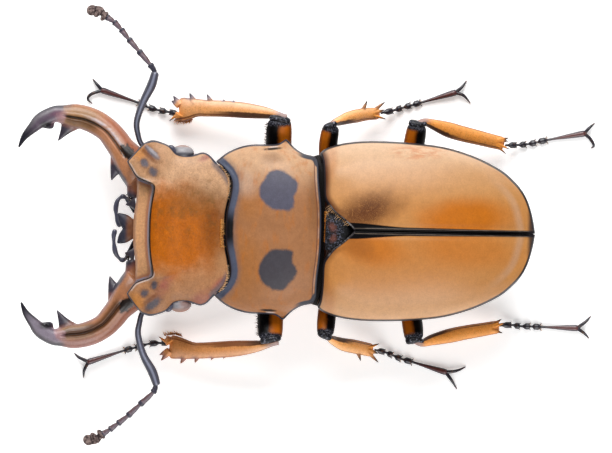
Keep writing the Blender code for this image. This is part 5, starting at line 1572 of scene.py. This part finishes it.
FOOT_SKIN = skin_of_feet()
FOOT_HEIGHTS = [1.6, 0.75, 0.36, 0.26, 0.25, 0.4]
for leg, sizes in LEGS.items():
    line = falling([*sizes["foot"], sizes["toe"]], FOOT_HEIGHTS)
    widths = []
    for k in range(101):
        joint, inside = min(4, k // 20), (k - 20 * min(4, k // 20)) / 20
        if joint < 4:
            widths.append(0.13 + 0.22 * smooth_step(inside, 0.2, 0.6) * (1 - smooth_step(inside, 0.88, 1.0)))
        else:
            widths.append(0.14 + 0.22 * smooth_step(inside, 0.1, 1.05))
    parts = [sweep(line, widths, widths, 120, 14, (0.1, 0.12))]
    for k in range(1, 5):
        ahead = (Vector(line[k]) - Vector(line[k - 1])).normalized()
        for way in (-1, 1):
            root = Vector(line[k]) - ahead * 0.3
            tip = root + ahead * 0.34 + UP.cross(ahead) * way * 0.42 - UP * 0.12
            parts.append(thorn(root, tip, 0.09, 6))
    toe = Vector(line[-1])
    for claw in sizes["claws"]:
        heights = [0.42, 0.38, 0.22, 0.08][: len(claw)] if len(claw) == 3 else [0.42, 0.1]
        bend = [toe - (toe - Vector(line[-2])).normalized() * 0.15]
        bend += [Vector((*point, height)) for point, height in zip(claw, heights)]
        parts.append(sweep(bend, [0.21, 0.17, 0.06], [0.2, 0.17, 0.05], 16, 10, (0.05, 0.02)))
    foot = gather(parts)
    for vert in foot.verts:
        vert.co.z = max(vert.co.z, 0.0)
    finish_piece(f"foot_{leg}", foot, FOOT_SKIN, "foot_shell", f"tarsus_{leg}")
print("six legs, each foot of five joints and two claws")

# %% [markdown]
# ## Hair
#
# Short golden hairs edge the plates where one slides under the next, brush the ends of the front
# shins and stand below the joints of the feet. Dark bristles sit at the roots of the jaws and on the
# front thighs. Each hair is a thin bent spine rooted in the shell. It has a small patch of its own on
# the map OFBake, at the place of its root on the unrolled row: along it and across it.

# %% Hair
HAIRS = random.Random(5)


def skin_of_hair(name, root, tip):
    skin = Finish(name, Roughness=0.45, Specular_IOR_Level=0.4)
    skin.set(Base_Color=skin.mottle(skin.mix("along", root, tip), 0.3, 0.8))
    return skin.bump(skin.noise(0.1, 2), 0.01)


def hair(root, way, length, radius, place):
    """One bent hair with a patch of the map at the place of its root."""
    sideways = Vector([HAIRS.uniform(-0.55, 0.55) for _ in range(3)])
    way = Vector(way).normalized()
    line = [root, root + (way + sideways * 0.4) * length * 0.5, root + (way + sideways) * length]
    sizes = [radius, radius * 0.7, radius * 0.15]
    strand = sweep(line, sizes, sizes, 4, 5, (0, 0))
    patch = strand.loops.layers.uv.new("OFBake")
    share, out = layer_of(strand, "along"), layer_of(strand, "side")
    for face in strand.faces:
        for loop in face.loops:
            loop[patch].uv = (place[0] + 0.0015 * loop.vert[out], place[1] + 0.003 * (loop.vert[share] - 0.5))
    return strand


def fringe(name, finish, slot, rows):
    """Rows of hairs as one piece. A row is a line, a count, the hairs' direction, length and radius."""
    strands = []
    for band, (line, count, way, length, radius) in enumerate(rows):
        for k in range(count):
            share = (k + HAIRS.random()) / count
            place = (0.02 + 0.96 * share, (band + HAIRS.uniform(0.2, 0.8)) / len(rows))
            root = along(line, share) + Vector([HAIRS.uniform(-0.05, 0.05) for _ in range(3)])
            strands.append(hair(root, way, length * HAIRS.uniform(0.55, 1.15), radius, place))
    bm = gather(strands)
    for vert in bm.verts:
        vert.co.z = max(vert.co.z, 0.02)
    finish_piece(name, bm, finish, slot)


GOLD_HAIR = skin_of_hair("golden hair", (206, 116, 24), (272, 206, 120))
PALE_HAIR = skin_of_hair("pale golden hair", (226, 160, 90), (284, 240, 196))
DARK_HAIR = skin_of_hair("dark bristles", (30, 22, 20), (90, 66, 50))
notch = [case_point(-1, share, case_rows[0], 0) + UP * 0.03 for share in (0.07, 0.12, 0.17, 0.22, 0.27, 0.32)]
fringe("fringe_case_right", PALE_HAIR, "wing_case", [(notch, 22, (0.6, -0.7, 0.2), 0.45, 0.02)])
rear_row = [crown_top(share, rows[-3]) + UP * 0.02 for share in (-0.14, -0.05, 0.05, 0.15, 0.25)]
fringe("fringe_head_rear", GOLD_HAIR, "head_shell", [(rear_row, 46, (0, 1, 0.12), 0.42, 0.035),
                                                     (rear_row, 40, (0.1, 1, 0.25), 0.4, 0.03)])
side_rows = [[crown_top(share, rows[-2]) for share in shares]
             for shares in ((-0.95, -0.85, -0.75, -0.65, -0.55, -0.45), (0.52, 0.62, 0.72, 0.82, 0.92))]
fringe("fringe_head_sides", PALE_HAIR, "head_shell", [(side_rows[0], 90, (-0.15, 1, 0.1), 0.26, 0.025),
                                                      (side_rows[1], 80, (0.15, 1, 0.1), 0.26, 0.025)])
before_plate = [Vector((-2.05, 1.7, 11.6)), Vector((-0.4, 1.72, 11.7)), Vector((1.25, 1.7, 11.65))]
fringe("fringe_scutellum", GOLD_HAIR, "scutellum_shell", [(before_plate, 60, (0, 1, 0.75), 0.62, 0.04),
                                                          (before_plate, 50, (0.15, 1, 0.6), 0.55, 0.035)])
jaw_roots = [([Vector((side * 2.7, -18.75, 6.2)), Vector((side * 3.6, -19.15, 6.1))], 34,
              (-side * 0.2, -1, 0.1), 0.6, 0.03) for side in (-1, 1)]
fringe("bristles_jaws", DARK_HAIR, "jaw_shell", jaw_roots)
for side, side_name in SIDES:
    end_y = -13.9 if side < 0 else -14.6
    lobe = [Vector((side * 11.65, end_y + 1.3, 1.9)), Vector((side * 11.45, end_y + 0.5, 1.8)),
            Vector((side * 11.6, end_y - 0.6, 1.65))]
    fringe(f"brush_shin_{side_name}", GOLD_HAIR, "tibia_shell", [(lobe, 60, (-side, -0.6, 0.1), 0.42, 0.03),
                                                                 (lobe, 50, (-side, -0.9, -0.2), 0.5, 0.03)])
    front_y = LEGS[f"front_{side_name}"]["thigh"][1][1] - 1.28
    edge = [Vector((side * 9.0, front_y, 5.5)), Vector((side * 11.4, front_y + 0.05, 6.75))]
    fringe(f"bristles_thigh_{side_name}", DARK_HAIR, "femur_shell", [(edge, 70, (0, -1, 0.15), 0.32, 0.025)])
for leg, sizes in LEGS.items():
    line = falling([*sizes["foot"], sizes["toe"]], FOOT_HEIGHTS)
    joint_rows = []
    for k in range(1, 5):
        ahead = (Vector(line[k]) - Vector(line[k - 1])).normalized()
        start = Vector(line[k]) - ahead * 0.35
        for way in (-1, 1):
            out = UP.cross(ahead) * way
            row = [start + out * 0.15, start + ahead * 0.25 + out * 0.15]
            joint_rows.append((row, 5, out * 0.5 + ahead - UP * 0.3, 0.36, 0.02))
    fringe(f"hairs_foot_{leg}", GOLD_HAIR, "foot_shell", joint_rows)
